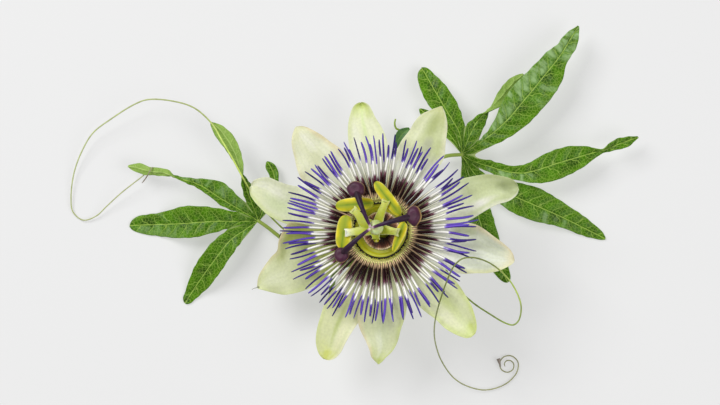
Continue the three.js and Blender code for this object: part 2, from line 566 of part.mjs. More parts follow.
function bractHeight(spec, along, u) {
  return -10.05 + 0.0095 * along * along + 0.9 * u * u * ramp(along, 3, 10);
}

function bract(index) {
  const spec = { name: `bract_${index + 1}`, angle: BRACT_ANGLES[index], stations: BRACT_STATIONS };
  return tepal(spec, bractHeight, LEAF_THICK, GREEN_BRACT);
}

// Cup, disc, rings and corona
const CUP_PROFILE = [
  [0, -9.4], [1.5, -9.4], [2.6, -8.9], [6, -7.2], [9.2, -5.6], [10.9, -4.4], [11.5, -3.2],
  [11.5, -0.5], [10.9, -0.45], [10.8, -0.1], [8.8, 0], [8.3, -0.55], [6.7, -0.8],
  [6.1, -2.2], [5.2, -3.4], [0, -3.6],
];
const LIMEN_SECTION = [[9.55, 0.3], [10.15, 0.3], [10.2, 0.7], [9.85, 1], [9.5, 0.7]];
const CORONA_RING = [[11.2, -0.15], [12.6, -0.1], [12.7, 0.6], [12.2, 1.2], [11.5, 1.2], [11.2, 0.9]];

// The filaments reach a little further to the sides than along Y.
function corona() {
  const random = randomFrom(41);
  const bodies = [hoop(CORONA_RING, 58)];
  const rows = [
    { turn: 0, reach: 34.8, spread: 1.1, root: 0.45, rise: 2.6 },
    { turn: 0.5, reach: 32.8, spread: 1.5, root: 1.25, rise: 3.8 },
  ];
  for (const row of rows) {
    for (let i = 0; i < FILAMENTS_PER_ROW; i += 1) {
      const start = 2 * Math.PI * (i + row.turn) / FILAMENTS_PER_ROW;
      const stretch = CORONA_STRETCH * Math.cos(2 * start);
      const reach = row.reach + stretch + row.spread * (2 * random() - 1);
      const drift = rad(2) * (2 * random() - 1);
      const bow = rad(1.2) * (2 * random() - 1);
      const rise = row.rise + 0.5 * (2 * random() - 1);
      const points = [FILAMENT_START, 20, 28, reach].map((radius) => {
        const t = (radius - FILAMENT_START) / (reach - FILAMENT_START);
        const angle = start + drift * t + bow * Math.sin(Math.PI * t);
        return [radius * Math.cos(angle), radius * Math.sin(angle), row.root + rise * Math.pow(t, 1.5)];
      });
      const radii = [FILAMENT_RADIUS, FILAMENT_RADIUS, FILAMENT_RADIUS, FILAMENT_TIP_RADIUS];
      bodies.push(tube(points, radii, 3));
    }
  }
  return piece('corona', grownTogether(bodies), VIOLET, 0.6);
}

function fringe() {
  const vertices = [];
  const triangles = [];
  const sectors = 52;
  for (let k = 0; k < sectors; k += 1) {
    const angle = 2 * Math.PI * k / sectors;
    const inner = k % 2 === 0 ? 3.9 : 4.9;
    for (const [radius, height] of [[6.9, -0.1], [5.9, 0.15], [inner, inner < 4.5 ? 0.6 : 0.35]]) {
      vertices.push([radius * Math.cos(angle), radius * Math.sin(angle), height]);
    }
  }
  for (let k = 0; k < sectors; k += 1) {
    const a = k * 3;
    const b = ((k + 1) % sectors) * 3;
    for (let i = 0; i < 2; i += 1) {
      triangles.push([a + i, b + i, b + i + 1]);
      triangles.push([a + i, b + i + 1, a + i + 1]);
    }
  }
  return piece('corona_fringe', thicken({ vertices, triangles }, 0.6), FRINGE_TINT, 0.6);
}

// Column with the stamen filaments, ovary, anthers, styles
const COLUMN_PROFILE = [
  [0, -3.3], [2.4, -3.3], [2.3, -2.4], [1.6, -1], [1.45, 3],
  [1.5, 6.5], [2, 8.2], [2.3, 9], [1.9, COLUMN_TOP], [0, COLUMN_TOP],
];
const STAMENS = [
  [[0.3, 0.9, 8.3], [1.9, 5, 9.2], [3.4, 8.6, 9.5], [4, 10.3, 9.45]],
  [[-0.8, 0.6, 8.3], [-4.3, 2.4, 9.1], [-6.4, 5.4, 9.5], [-8.4, 7.2, 9.45]],
  [[-1, -0.1, 8.3], [-5.2, -0.6, 9.2], [-9.2, -1.1, 9.5], [-11, -1.3, 9.45]],
  [[1, -0.1, 8.3], [4, -0.4, 9.2], [6.8, -0.9, 9.6], [8.8, -1.3, 9.5]],
  [[0, -0.9, 8.3], [0.1, -1.9, 8.8], [0.2, -2.8, 8.7], [0.1, -3.5, 8.2]],
];

function column() {
  const bodies = [turned(COLUMN_PROFILE, 10)];
  for (const path of STAMENS) {
    bodies.push(tube(path, [1.8, 1.75, 1.6, 1.45, 1.3, 0.9], 6, 0.36));
  }
  return piece('column', grownTogether(bodies), COLUMN_TINT, 0.5);
}

const OVARY_PROFILE = [
  [0, 9.75], [1.5, 9.8], [2.35, 10.8], [2.7, 12.2], [2.5, 13.4], [1.9, 14.4], [0.9, 14.9], [0, 15],
];

// Each anther: its two ends, half its width and half its thickness.
const ANTHERS = [
  { ends: [[-0.4, 16.9, 7.9], [8.9, 5, 7.9]], half: 2.1, thick: 0.95 },
  { ends: [[-14.9, 8.4, 7.8], [-0.9, 9.4, 7.8]], half: 2.4, thick: 0.95 },
  { ends: [[-12.5, -6.9, 7.8], [-10.9, 5.1, 7.8]], half: 2.8, thick: 0.95 },
  { ends: [[6.4, -8, 7.8], [10.4, 2.4, 7.8]], half: 2.2, thick: 0.95 },
  { ends: [[0.1, -3.6, 7.6], [-1.2, -3.3, 1.7]], half: 1, thick: 1 },
];

function anther(index) {
  const { ends, half, thick } = ANTHERS[index];
  const lobes = [0.35, 0.82, 0.98, 1, 0.97, 0.93, 0.97, 1, 0.98, 0.82, 0.35];
  const body = tube(ends, lobes.map((scale) => scale * half), 8, thick / half);
  return piece(`anther_${index + 1}`, body, ANTHER_TINT, 0.65);
}

// Each style: the direction and distance of its stigma, and the stigma's half sizes.
const STYLES = [
  { at: [-6.1, 13.9, 13.5], knob: [3.3, 2.9, 2.4] },
  { at: [15, 4.3, 13.5], knob: [2.7, 3.6, 2.4] },
  { at: [-11.2, -9.4, 13.5], knob: [2.6, 2.8, 2.3] },
];

function style(index) {
  const { at, knob } = STYLES[index];
  const reach = Math.hypot(at[0], at[1]);
  const direction = [at[0] / reach, at[1] / reach];
  const path = [[0.9, 15.85], [4, 16.6], [8, 16.5], [11.5, 15.5], [reach - 1, 14]].map(
    ([radius, height]) => [radius * direction[0], radius * direction[1], height],
  );
  const arm = tube(path, taper(0.5, 1.3, 7), 7);
  const stigma = ellipsoid(at, knob, 10, 6);
  return piece(`style_${index + 1}`, grownTogether([arm, stigma]), STYLE_TINT, 0.5);
}

// Assembly
const sprig = new THREE.Group();
sprig.name = 'passion_flower';

const vine = new THREE.Group();
vine.name = 'vine';
vine.add(piece('stem', tube(STEM_PATH, taper(STEM_RADIUS, STEM_RADIUS, 22), 8), GREEN_STEM, 0.6));
vine.add(piece('flower_stalk', tube(STALK_PATH, taper(STALK_RADIUS, STALK_RADIUS, 16), 8), GREEN_STEM, 0.6));
vine.add(leaf('leaf_left', LEFT_HUB, LEFT_SINUSES, LEFT_LOBES, LEFT_PETIOLE));
vine.add(leaf('leaf_right', RIGHT_HUB, RIGHT_SINUSES, RIGHT_LOBES, RIGHT_PETIOLE));
const leftTendril = tube(LEFT_TENDRIL, taper(TENDRIL_RADIUS, TENDRIL_TIP_RADIUS, 68), 5);
vine.add(piece('tendril_left', leftTendril, GREEN_TENDRIL, 0.6));
const rightPath = [...RIGHT_TENDRIL, ...coilPoints()];
const rightTendril = tube(rightPath, taper(TENDRIL_RADIUS, TENDRIL_TIP_RADIUS, 88), 5);
vine.add(piece('tendril_right', rightTendril, GREEN_TENDRIL, 0.6));
vine.add(shootTip());
sprig.add(vine);

const bloom = new THREE.Group();
bloom.name = 'bloom';
bloom.position.set(...BLOOM_CENTRE);
const leanAxis = new THREE.Vector3(-Math.sin(rad(BLOOM_TILT_TOWARDS)), Math.cos(rad(BLOOM_TILT_TOWARDS)), 0);
bloom.quaternion.setFromAxisAngle(leanAxis, rad(BLOOM_TILT));
bloom.add(piece('floral_cup', turned(CUP_PROFILE, 32), CUP_TINT, 0.5));
bloom.add(piece('limen_ring', hoop(LIMEN_SECTION, 32), DARK_RING, 0.5));
bloom.add(fringe());
bloom.add(corona());
bloom.add(column());
const ovary = piece('ovary', turned(OVARY_PROFILE, 12), OVARY_TINT, 0.4);
ovary.position.set(...OVARY_LEAN, 0);
bloom.add(ovary);
for (let i = 0; i < BRACT_ANGLES.length; i += 1) {
  bloom.add(bract(i));
}
for (const spec of SEPALS) {
  bloom.add(tepal(spec, sepalHeight, SEPAL_THICK, SEPAL_TINT));
}
for (const spec of PETALS) {
  bloom.add(tepal(spec, petalHeight, PETAL_THICK, PETAL_TINT));
}
for (let i = 0; i < ANTHERS.length; i += 1) {
  bloom.add(anther(i));
}
for (let i = 0; i < STYLES.length; i += 1) {
  bloom.add(style(i));
}
sprig.add(bloom);

export default sprig;
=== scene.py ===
import math
import random

import bpy
import numpy as np
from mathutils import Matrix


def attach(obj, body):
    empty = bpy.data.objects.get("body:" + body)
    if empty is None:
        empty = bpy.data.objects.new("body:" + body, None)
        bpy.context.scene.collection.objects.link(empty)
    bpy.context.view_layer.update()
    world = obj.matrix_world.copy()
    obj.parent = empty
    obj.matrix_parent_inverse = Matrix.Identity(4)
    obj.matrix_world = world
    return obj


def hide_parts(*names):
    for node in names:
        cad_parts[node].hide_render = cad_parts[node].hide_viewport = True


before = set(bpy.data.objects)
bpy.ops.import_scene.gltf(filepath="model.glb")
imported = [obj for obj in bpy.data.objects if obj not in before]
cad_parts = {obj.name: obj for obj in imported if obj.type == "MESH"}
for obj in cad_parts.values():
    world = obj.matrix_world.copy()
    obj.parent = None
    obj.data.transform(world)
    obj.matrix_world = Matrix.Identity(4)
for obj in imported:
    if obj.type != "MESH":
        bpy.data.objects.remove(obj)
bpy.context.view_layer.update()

# Camera
# A long lens 0.9 m above the surface looks straight down on the sprig, with +Y at the top
# of the picture and +X to the right, so that the bloom faces the lens.
MM = 0.001
CAMERA_PLACE = (2.4, 2.2, 900.0)
IMAGE_PIXELS = 720
MM_PER_PIXEL = 0.37
SENSOR_WIDTH = 36.0
CLIP_END = 10.0

lens = bpy.data.cameras.new("overhead_camera")
lens.sensor_width = SENSOR_WIDTH
lens.lens = SENSOR_WIDTH * CAMERA_PLACE[2] / (IMAGE_PIXELS * MM_PER_PIXEL)
lens.clip_end = CLIP_END
camera = bpy.data.objects.new("overhead_camera", lens)
camera.location = [v * MM for v in CAMERA_PLACE]
bpy.context.scene.collection.objects.link(camera)
bpy.context.scene.camera = camera


# Stem
# The piece of vine that everything springs from: a green, slightly ribbed shoot, cut at its
# lower end. It lies on the surface under the bloom, and swells at the joints where leaves spring.
STEM_PATH = [
    (-7.2, -41.2), (-8, -31), (-6.5, -22), (-1.3, -13.5), (6.8, -5),
    (15.2, 0.6), (17.6, 6), (17.6, 12), (16.7, 18), (15.6, 21.6),
]
STEM_RADIUS = 1.1
STEM_RIBS = 5
STEM_LEVEL = 1.2
STEM_JOINTS = [(-6.5, -22.0), (16.6, 2.5)]
JOINT_SWELLING = 0.12
JOINT_LENGTH = 2.2

# What the second word of a node's kind sets, where that isn't its operation.
SECOND_WORD = {"Mix": "data_type", "MapRange": "interpolation_type"}


def linear(code):
    """An sRGB hex colour in the linear light that the shaders work in."""
    channels = [int(code[i:i + 2], 16) / 255 for i in (0, 2, 4)]
    return [c / 12.92 if c <= 0.04045 else ((c + 0.055) / 1.055) ** 2.4 for c in channels] + [1.0]


def new_material(name):
    """An empty material, and the function that adds a node to it and gives one of its outputs.

    A node's kind may have a second word: its operation, interpolation or data type. The values fill
    its inputs in order, or by name from a dict, and a text among them is a hex colour. The stops of
    a ramp are given with its two ends first.
    """
    material = bpy.data.materials.new(name)
    material.use_nodes = True
    tree = material.node_tree
    tree.nodes.clear()

    def add(kind, *values, output=0, stops=(), **settings):
        kind, _, choice = kind.partition(" ")
        node = tree.nodes.new("ShaderNode" + kind)
        if choice:
            settings[SECOND_WORD.get(kind, "operation")] = choice
        for key, value in settings.items():
            setattr(node, key, value)
        for index, (position, code) in enumerate(stops):
            ramp = node.color_ramp.elements
            stop = ramp[index] if index < 2 else ramp.new(position)
            stop.position = position
            stop.color = linear(code)
        if values and isinstance(values[0], dict):
            pairs = [(node.inputs[key], value) for key, value in values[0].items()]
        else:
            pairs = zip([socket for socket in node.inputs if socket.enabled], values)
        for socket, value in pairs:
            if isinstance(value, bpy.types.NodeSocket):
                tree.links.new(value, socket)
            else:
                socket.default_value = linear(value) if isinstance(value, str) else value
        outputs = [socket for socket in node.outputs if socket.enabled]
        return outputs[output] if outputs else None
    return material, add


def curve_through(points, count):
    """Evenly spaced points on the smooth centripetal curve through the given ones."""
    p = np.asarray(points, float)
    p = np.vstack([2 * p[0] - p[1], p, 2 * p[-1] - p[-2]])
    fine = []
    for i in range(1, len(p) - 2):
        a, b, c, d = p[i - 1:i + 3]
        t1, t2, t3 = (max(np.linalg.norm(v), 1e-6) ** 0.5 for v in (b - a, c - b, d - c))
        leave = ((b - a) / t1 - (c - a) / (t1 + t2) + (c - b) / t2) * t2
        arrive = ((c - b) / t2 - (d - b) / (t2 + t3) + (d - c) / t3) * t2
        for t in np.linspace(0, 1, 16, endpoint=False):
            square, cube = t * t, t * t * t
            ends = (2 * cube - 3 * square + 1) * b + (3 * square - 2 * cube) * c
            fine.append(ends + (cube - 2 * square + t) * leave + (cube - square) * arrive)
    fine = np.array(fine + [p[-2]])
    run = np.concatenate([[0], np.cumsum(np.linalg.norm(np.diff(fine, axis=0), axis=1))])
    even = np.linspace(0, run[-1], count + 1)
    return np.column_stack([np.interp(even, run, column) for column in fine.T])


def tube_faces(rings, sides):
    """The faces between the rings of a closed tube, and its two flat ends."""
    faces = []
    for i in range(rings - 1):
        for k in range(sides):
            a, b = i * sides + k, i * sides + (k + 1) % sides
            faces.append((a, b, b + sides, a + sides))
    faces.append(tuple(range(sides - 1, -1, -1)))
    faces.append(tuple(range((rings - 1) * sides, rings * sides)))
    return faces


def tube_body(path, radii, sides, flatten=1.0, turn=None, lumps=None):
    """A closed tube along a path; its surface coordinates are (round, millimetres along)."""
    path = np.asarray(path, float)
    ahead = np.gradient(path, axis=0)
    ahead /= np.linalg.norm(ahead, axis=1)[:, None]
    side = np.cross((0, 0, 1) if abs(ahead[0][2]) < 0.9 else (1, 0, 0), ahead[0])
    run = np.concatenate([[0], np.cumsum(np.linalg.norm(np.diff(path, axis=0), axis=1))])
    angles = 2 * math.pi * np.arange(sides) / sides
    folded = 1 - np.abs(1 - angles / math.pi)
    points, surface = [], []
    for i, centre in enumerate(path):
        side = side - ahead[i] * side.dot(ahead[i])
        side = side / np.linalg.norm(side)
        up = np.cross(ahead[i], side)
        spin = turn[i] if turn is not None else 0.0
        wide = side * math.cos(spin) + up * math.sin(spin)
        thick = (up * math.cos(spin) - side * math.sin(spin)) * flatten
        radius = radii[i] * (lumps(angles) if lumps else np.ones(sides))
        spokes = np.column_stack([radius * np.cos(angles), radius * np.sin(angles)])
        points.append(centre + spokes[:, :1] * wide + spokes[:, 1:] * thick)
        surface.append(np.column_stack([folded, np.full(sides, run[i])]))
    return {
        "points": np.vstack(points),
        "faces": tube_faces(len(path), sides),
        "surface": np.vstack(surface),
        "angles": np.tile(angles, len(path)),
    }


def joined(bodies):
    """Several bodies in one, each point marked with the number of its strand, from 0 to 1."""
    faces, shift, strands = [], 0, []
    for index, body in enumerate(bodies):
        faces += [tuple(i + shift for i in face) for face in body["faces"]]
        strands.append(np.full(len(body["points"]), index / max(1, len(bodies) - 1)))
        shift += len(body["points"])
    return {
        "points": np.vstack([body["points"] for body in bodies]),
        "faces": faces,
        "surface": np.vstack([body["surface"] for body in bodies]),
        "values": {"strand": np.concatenate(strands)},
    }


def new_piece(name, body, material, place=None):
    """A smooth object from a body in millimetres, moved to its place by a 4 by 4 matrix."""
    points = np.asarray(body["points"], float)
    if place is not None:
        points = points @ place[:3, :3].T + place[:3, 3]
    mesh = bpy.data.meshes.new(name)
    mesh.from_pydata((points * MM).tolist(), [], body["faces"])
    corners = np.empty(len(mesh.loops), int)
    mesh.loops.foreach_get("vertex_index", corners)
    for layer in ("surface", "share"):
        if layer in body:
            values = np.asarray(body[layer], float)
            values = values if len(values) == len(corners) else values[corners]
            mesh.uv_layers.new(name=layer).uv.foreach_set("vector", values.ravel())
    for key, values in body.get("values", {}).items():
        mesh.attributes.new(key, "FLOAT", "POINT").data.foreach_set("value", values)
    mesh.materials.append(material)
    mesh.shade_smooth()
    mesh.validate()
    piece = bpy.data.objects.new(name, mesh)
    bpy.context.scene.collection.objects.link(piece)
    return piece


def young_bark(name, green, pale, streak_mm):
    """Living green epidermis: satin, streaked along its length, paler where light catches a rib.

    Here and in every material a pattern's scale is the number of its cells in a millimetre.
    """
    material, add = new_material(name)
    along = add("UVMap", uv_map="surface")
    stretched = add("VectorMath MULTIPLY", along, (6.0, 1 / streak_mm, 1.0))
    streaks = add("TexNoise", stretched, 1.0, 3.0)
    colour = add("ValToRGB", streaks, stops=[(0.3, green), (0.7, pale)])
    place = add("TexCoord", output=3)
    grain = add("TexNoise", place, 2.2 / MM, 2.0)
    relief = add("Bump", {"Strength": 0.35, "Distance": 0.1 * MM, "Height": grain})
    add("OutputMaterial", add("BsdfPrincipled", {
        "Base Color": colour, "Roughness": 0.42, "Normal": relief,
        "Subsurface Weight": 0.1, "Subsurface Scale": 1.0 * MM}))
    return material


def stem_swelling(path):
    """Radius along the stem, with a low swelling at each joint."""
    radii = np.full(len(path), STEM_RADIUS)
    for x, y in STEM_JOINTS:
        away = np.hypot(path[:, 0] - x, path[:, 1] - y)
        radii += JOINT_SWELLING * np.exp(-(away / JOINT_LENGTH) ** 2)
    return radii


def stem_ribs(angles):
    """The low ribs round the stem, as a share of its radius."""
    return 0.96 + 0.04 * np.cos(STEM_RIBS * angles)


stem_line = curve_through([(x, y, STEM_LEVEL) for x, y in STEM_PATH], count=90)
stem_body = tube_body(stem_line, stem_swelling(stem_line), sides=30, lumps=stem_ribs)
stem_skin = young_bark("green_stem_epidermis", "66862c", "94ae55", streak_mm=5.0)
stem = new_piece("cut_stem", stem_body, stem_skin)
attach(stem, "root")
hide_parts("stem")


# Flower stalk
# One stalk carries the bloom: it springs from a joint of the stem, runs low under the bloom
# and turns up into the cup, thickening a little where it meets the cup.
STALK_PATH = [
    (-6.3, -21.8, 2.62), (-5.9, -21.7, 4), (-3.2, -20.9, 5.6), (3, -18.6, 6.6), (9, -14.8, 8.6),
    (12.2, -10.6, 12), (12.4, -8.8, 15), (12.14, -8.6, 16.6),
]
STALK_RADIUS = 1.05
STALK_STEPS = 60

stalk_line = curve_through(STALK_PATH, STALK_STEPS)
stalk_step = np.arange(STALK_STEPS + 1)
foot_swelling = 0.12 * np.exp(-(stalk_step / 5) ** 2)
head_swelling = 0.2 * np.exp(-((stalk_step - STALK_STEPS) / 8) ** 2)
stalk_radii = STALK_RADIUS + foot_swelling + head_swelling
stalk_skin = young_bark("flower_stalk_epidermis", "7d9a3e", "a9c06a", streak_mm=4.0)
stalk = new_piece("flower_stalk_round", tube_body(stalk_line, stalk_radii, sides=24), stalk_skin)
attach(stalk, "root")
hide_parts("flower_stalk")


# Leaves
# Two palmate leaves, cut deep into long lobes, some twisted so that the pale underside shows.
# A blade is one thin sheet with sunken veins, glossy above and matt below, on a slim petiole.
LIE_FLAT = 0.3
BLADE_THICK = 0.46
VEIN_SPACING = 4.8
VEIN_GAP = VEIN_SPACING * 0.8
VEIN_SLANT = 0.6
VEIN_ARCH = 0.04
NET_CELL = 1.15
LOWEST = 0.03
SCALLOP = 0.09
CRISP = 0.22
PETIOLE_RADIUS = 0.78
STALK_MARK = -2.0
GLAND_MARK = -3.0
ACROSS = (-1, -0.5, 0, 0.5, 1)

# A lobe's rows run from the hub to the tip, each as x, y, z, the width on its left and on its
# right, and the degrees that it is twisted by, where it is.
LEFT_HUB = (-34.9, -4.6, 4)
LEFT_SINUSES = [(-33.7, 0.5, 5), (-39.1, 1.6, 6.2), (-40.8, -1.7, 6), (-45.6, -7.1, 6)]
LEFT_LOBES = [
    [
        (-34.1, -2.7, 4.4, 0, 0.9), (-33.3, -0.6, 4.8, 0, 1.9), (-32.3, 2, 4.7, 1.7, 2.6),
        (-31.1, 4.6, 4.5, 2.2, 3), (-29.5, 7.9, 4, 2.3, 2.6), (-28.8, 11.4, 3.2, 1.7, 1.2),
        (-30.1, 14.7, 2.6, 2.1, 2.3), (-31.3, 16.4, 2.3, 1.5, 1.4), (-32.1, 17.3, 2.2, 0.3, 0.3),
    ],
    [
        (-36, -1.8, 5, 0, 0), (-37, 1, 6, 0, 0), (-37.9, 3.3, 7, 1.8, 3), (-39.3, 7.4, 8.2, 1.6, 2.6),
        (-40.4, 10.6, 9, 1.2, 1.5, 40), (-40.9, 12.6, 9.5, 1.1, 1.1, 90), (-41.4, 14.6, 9.9, 1.4, 1.3, 140),
        (-42.2, 17.2, 10.4, 1.7, 1.7, 170), (-43.6, 21.3, 11, 2.4, 2.3, 180),
        (-46.2, 25.6, 11.5, 2.7, 3.1, 180), (-49.1, 29.4, 11.5, 1.5, 2.7, 180),
        (-50.9, 30.7, 11.5, 0.9, 1.6, 180), (-52, 31.3, 11.5, 0.3, 0.3, 180),
    ],
    [
        (-38, -2.75, 5.1, 0, 0), (-41.1, -0.9, 6.2, 0, 0), (-44.9, 1.4, 7, 2.2, 4.1), (-49.3, 4, 8, 2, 5.7),
        (-52.7, 6.4, 8.5, 1.6, 5.1), (-55, 8, 8.5, 1.5, 3.2), (-58.6, 9.6, 8.5, 1.3, 1.5, 15),
        (-62.4, 10.4, 8.4, 1.2, 1.2, 45), (-65.8, 11.7, 8.2, 1, 1, 90), (-67.6, 12.7, 8.1, 1.3, 1.3, 140),
        (-69.8, 13.4, 7.9, 1.6, 1.4, 170), (-74.7, 13.5, 7.2, 1.4, 1.4, 180),
        (-78.4, 14.7, 6.5, 2.1, 2, 180), (-81, 15.3, 6, 1.3, 1.3, 180), (-82.7, 15.6, 5.6, 0.3, 0.3, 180),
    ],
    [
        (-39.6, -4.6, 5.1, 0, 0), (-44.6, -4.6, 6.3, 0, 0), (-48.3, -4.65, 6.8, 3.4, 4.5),
        (-51.5, -4.7, 7, 4.2, 5.2), (-57.8, -5.2, 6.4, 5.5, 6.4), (-63.6, -5.6, 4.4, 5.4, 6.4),
        (-68, -5.8, 1.8, 5, 5), (-71.5, -5.9, LIE_FLAT, 4.5, 4.3), (-74.5, -6, LIE_FLAT, 4, 4),
        (-78, -6.1, LIE_FLAT, 3.4, 3.7), (-80.8, -6.2, LIE_FLAT, 2.6, 2.9),
        (-82.2, -6.3, LIE_FLAT, 1.5, 1.7), (-82.8, -6.3, LIE_FLAT, 0.3, 0.3),
    ],
    [
        (-38.2, -6.6, 5, 1.2, 0), (-41.6, -9, 5.9, 2.6, 0), (-44.8, -11, 6.5, 3.6, 3.4),
        (-47.7, -14.4, 6.9, 4.1, 4.6), (-51.2, -19.2, 6.2, 4.3, 5), (-54, -22.8, 4.7, 4.4, 4.7),
        (-56.5, -26.2, 2.8, 4.4, 4.1), (-58.8, -29.6, 1, 3.3, 2.9), (-60.6, -32.3, LIE_FLAT, 2.5, 2.2),
        (-61.7, -34.1, LIE_FLAT, 1.9, 1.7), (-62.3, -35.1, LIE_FLAT, 0.6, 0.6),
    ],
]
RIGHT_HUB = (40, 20, 4)
RIGHT_SINUSES = [
    (42.9, 10.5, 4.4), (45.8, 15.2, 5.4), (43.3, 19.6, 5.4),
    (45.5, 24.2, 6), (40.8, 29.8, 5.6), (38.8, 25.2, 4.6),
]
RIGHT_LOBES = [
    [
        (40.7, 16.4, 4.3, 0, 0.9), (41.4, 12.8, 4.4, 0, 2), (42.4, 9.6, 4.3, 1.7, 2.8),
        (43.6, 6.4, 4.1, 2.6, 3.5), (45.1, 1.6, 3.6, 4.2, 4.2), (46.2, -3.2, 2.9, 5.2, 4.2),
        (47.5, -7.8, 2.1, 5.2, 4.3), (50, -13.5, 1, 4.4, 4.4), (52.8, -18.9, LIE_FLAT, 3.4, 3.7),
        (55.3, -23.5, LIE_FLAT, 2.7, 2.9), (56.3, -25.8, LIE_FLAT, 2, 2.1), (56.9, -27, LIE_FLAT, 1.2, 1.2),
        (57.1, -27.4, LIE_FLAT, 0.3, 0.3),
    ],
    [
        (42.1, 16.4, 4.5, 0, 0), (44.2, 12.9, 4.8, 0, 0), (47, 10.8, 4.4, 2, 3), (50.5, 8.7, 4.1, 3, 4),
        (54, 6.8, 3.8, 4.1, 4.4), (59.9, 4.1, 3.8, 5.6, 5.7), (65.2, 1.9, 3.6, 6.6, 6),
        (71.1, -0.6, 3, 5.9, 5.2), (77.1, -3.2, 2.1, 4.8, 3.6), (81.1, -5.2, 1.4, 4.3, 3.3),
        (85.5, -7.4, 0.7, 3.6, 2.9), (89.6, -9.4, LIE_FLAT, 2.4, 2), (91.9, -10.6, LIE_FLAT, 1.5, 1.3),
        (93.2, -11.2, LIE_FLAT, 0.3, 0.3),
    ],
    [
        (41.5, 18.7, 4.6, 0, 0), (43.4, 17.6, 5.3, 0, 0), (46, 16.6, 6, 1.6, 1.5),
        (48.6, 15.9, 6.7, 2.3, 1.9), (52.7, 14.5, 7.4, 2.2, 2.4), (57.4, 13.2, 8, 2.5, 2.4),
        (62.5, 12.8, 8.4, 2.7, 3.2), (68.4, 14.3, 8.6, 4.3, 5.6), (73.3, 16.2, 8.8, 4.9, 5.8),
        (78.2, 17.6, 8.8, 5.2, 5.3), (83.2, 19.1, 8.6, 4.3, 4.1), (88.1, 20.6, 8.4, 2.3, 2.1, 20),
        (91.6, 21.4, 8.2, 1.2, 1.2, 70), (94, 22.3, 8.1, 1.8, 1.5, 25), (96.5, 23.3, 7.9, 2.2, 1.8),
        (99.8, 24.5, 7.6, 1.9, 2.3), (102.5, 25.5, 7.3, 1.2, 1.3), (104.5, 26.2, 7, 0.3, 0.3),
    ],
    [
        (41.8, 21.1, 4.9, 0, 0), (43.9, 22.3, 5.8, 0, 0), (47.1, 24.6, 7.3, 1, 3),
        (49.5, 26.4, 8.1, 1.5, 3.9), (52.1, 28.4, 8.8, 2.3, 4.6), (57.1, 33, 10, 5.2, 6.2),
        (60.8, 37.7, 10.7, 6.6, 7.1), (66, 43.8, 11, 6.2, 7.2), (69.9, 48.8, 10.8, 5.3, 7),
        (72.8, 52.2, 10.6, 5.1, 5.6), (75.2, 55.3, 10.3, 4.7, 3.1), (77.2, 58.2, 10, 3, 3.5),
        (78.3, 60.2, 9.8, 3.1, 3.6), (79.7, 62.4, 9.6, 2.6, 3.1), (81.3, 65.1, 9.2, 1.4, 1.5),
        (82.4, 66.8, 9, 0.3, 0.3),
    ],
    [
        (41.1, 22.7, 4.5, 0, 0), (42.4, 26.2, 5, 0, 0), (44, 29.6, 5, 2.7, 3.5),
        (45.3, 31.9, 5, 1.9, 3.4, 5), (47.3, 34.2, 5, 1.3, 2.4, 30), (49.7, 36.2, 4.9, 1.2, 1.5, 90),
        (51.6, 38, 4.8, 2, 1.4, 140), (53.6, 40.2, 4.6, 2.7, 1.7, 170), (55.8, 42.9, 4.2, 3, 2.1, 180),
        (58.4, 46, 3.8, 2.9, 2.3, 180), (61, 48.2, 3.5, 1.7, 1.4, 180), (62.6, 49.4, 3.4, 0.3, 0.3, 180),
    ],
    [
        (39.8, 22.9, 4.6, 0, 0), (39.6, 26.2, 5.4, 0, 0), (38.2, 29.6, 6.3, 1.7, 3),
        (36.4, 32.2, 6.8, 2.5, 4), (34.8, 34.9, 7, 3.2, 4.6), (32.5, 38.7, 7, 4.6, 5),
        (29.8, 43.4, 6.2, 4.8, 4.4), (28.4, 46, 5.4, 4.4, 3.5), (27.2, 48.2, 4.6, 3.8, 2.8),
        (26, 50.3, 3.6, 2.9, 2.2), (25.4, 51.3, 3.2, 1.8, 1.4), (25.1, 51.8, 3, 0.3, 0.3),
    ],
    [
        (39.2, 21.7, 3.9, 0.6, 0), (38, 23.8, 3.8, 1, 0), (36.4, 26.2, 3.5, 1.6, 1.8),
        (34.4, 28.4, 3.3, 2.2, 2.6), (32, 30.5, 3.1, 2.5, 3), (29.4, 32.7, 2.8, 2.5, 2.7),
        (27.3, 34.4, 2.5, 2.2, 1.9), (25.5, 35.9, 2.1, 1.4, 1.2), (24.4, 36.8, 2, 0.3, 0.3),
    ],
]
LEFT_PETIOLE = [
    (-8.1, -22.1, 1.5), (-16, -18.2, 2.2), (-27.4, -10.3, 3.4), (-31.6, -7, 3.8), (-35.4, -4.3, 4),
]
PETIOLE_GLAND = [(-26.95, -10.75, 3.5), (-26.8, -10.2, 4.1), (-26.6, -9.6, 4.5), (-26.5, -9.2, 4.7)]
RIGHT_PETIOLE = [
    (18.75, 3, 1.5), (20.4, 4.5, 1.7), (23, 10.5, 2.2), (29, 17.1, 3), (34.2, 19.3, 3.6), (40.5, 19.9, 4),
]


def lobe_point(rows, k, hub, u, phase):
    """A point of a lobe's middle sheet on row k, at u from -1, the right margin, to 1, the left."""
    x, y, z, left, right, *degrees = rows[k]
    before = rows[k - 1] if k else hub
    after = rows[min(k + 1, len(rows) - 1)]
    ahead = np.array([after[0] - before[0], after[1] - before[1]], float)
    ahead /= np.linalg.norm(ahead)
    across = np.array([-ahead[1], ahead[0], 0.0])
    twist = math.radians(sum(degrees))
    leftward = across * math.cos(twist) + np.array([0, 0, math.sin(twist)])
    upward = -across * math.sin(twist) + np.array([0, 0, math.cos(twist)])
    width = left if u > 0 else right
    lift = min(1, max(0, (z - LIE_FLAT) / 3)) * min(1, width / 2.5)
    fold = 0.7 * abs(u) ** 1.6
    wave = 0.45 * u * u * math.sin(k * 2.1 + (0 if u > 0 else 2) + phase)
    return np.array([x, y, z]) + leftward * u * width + upward * lift * (fold + wave)


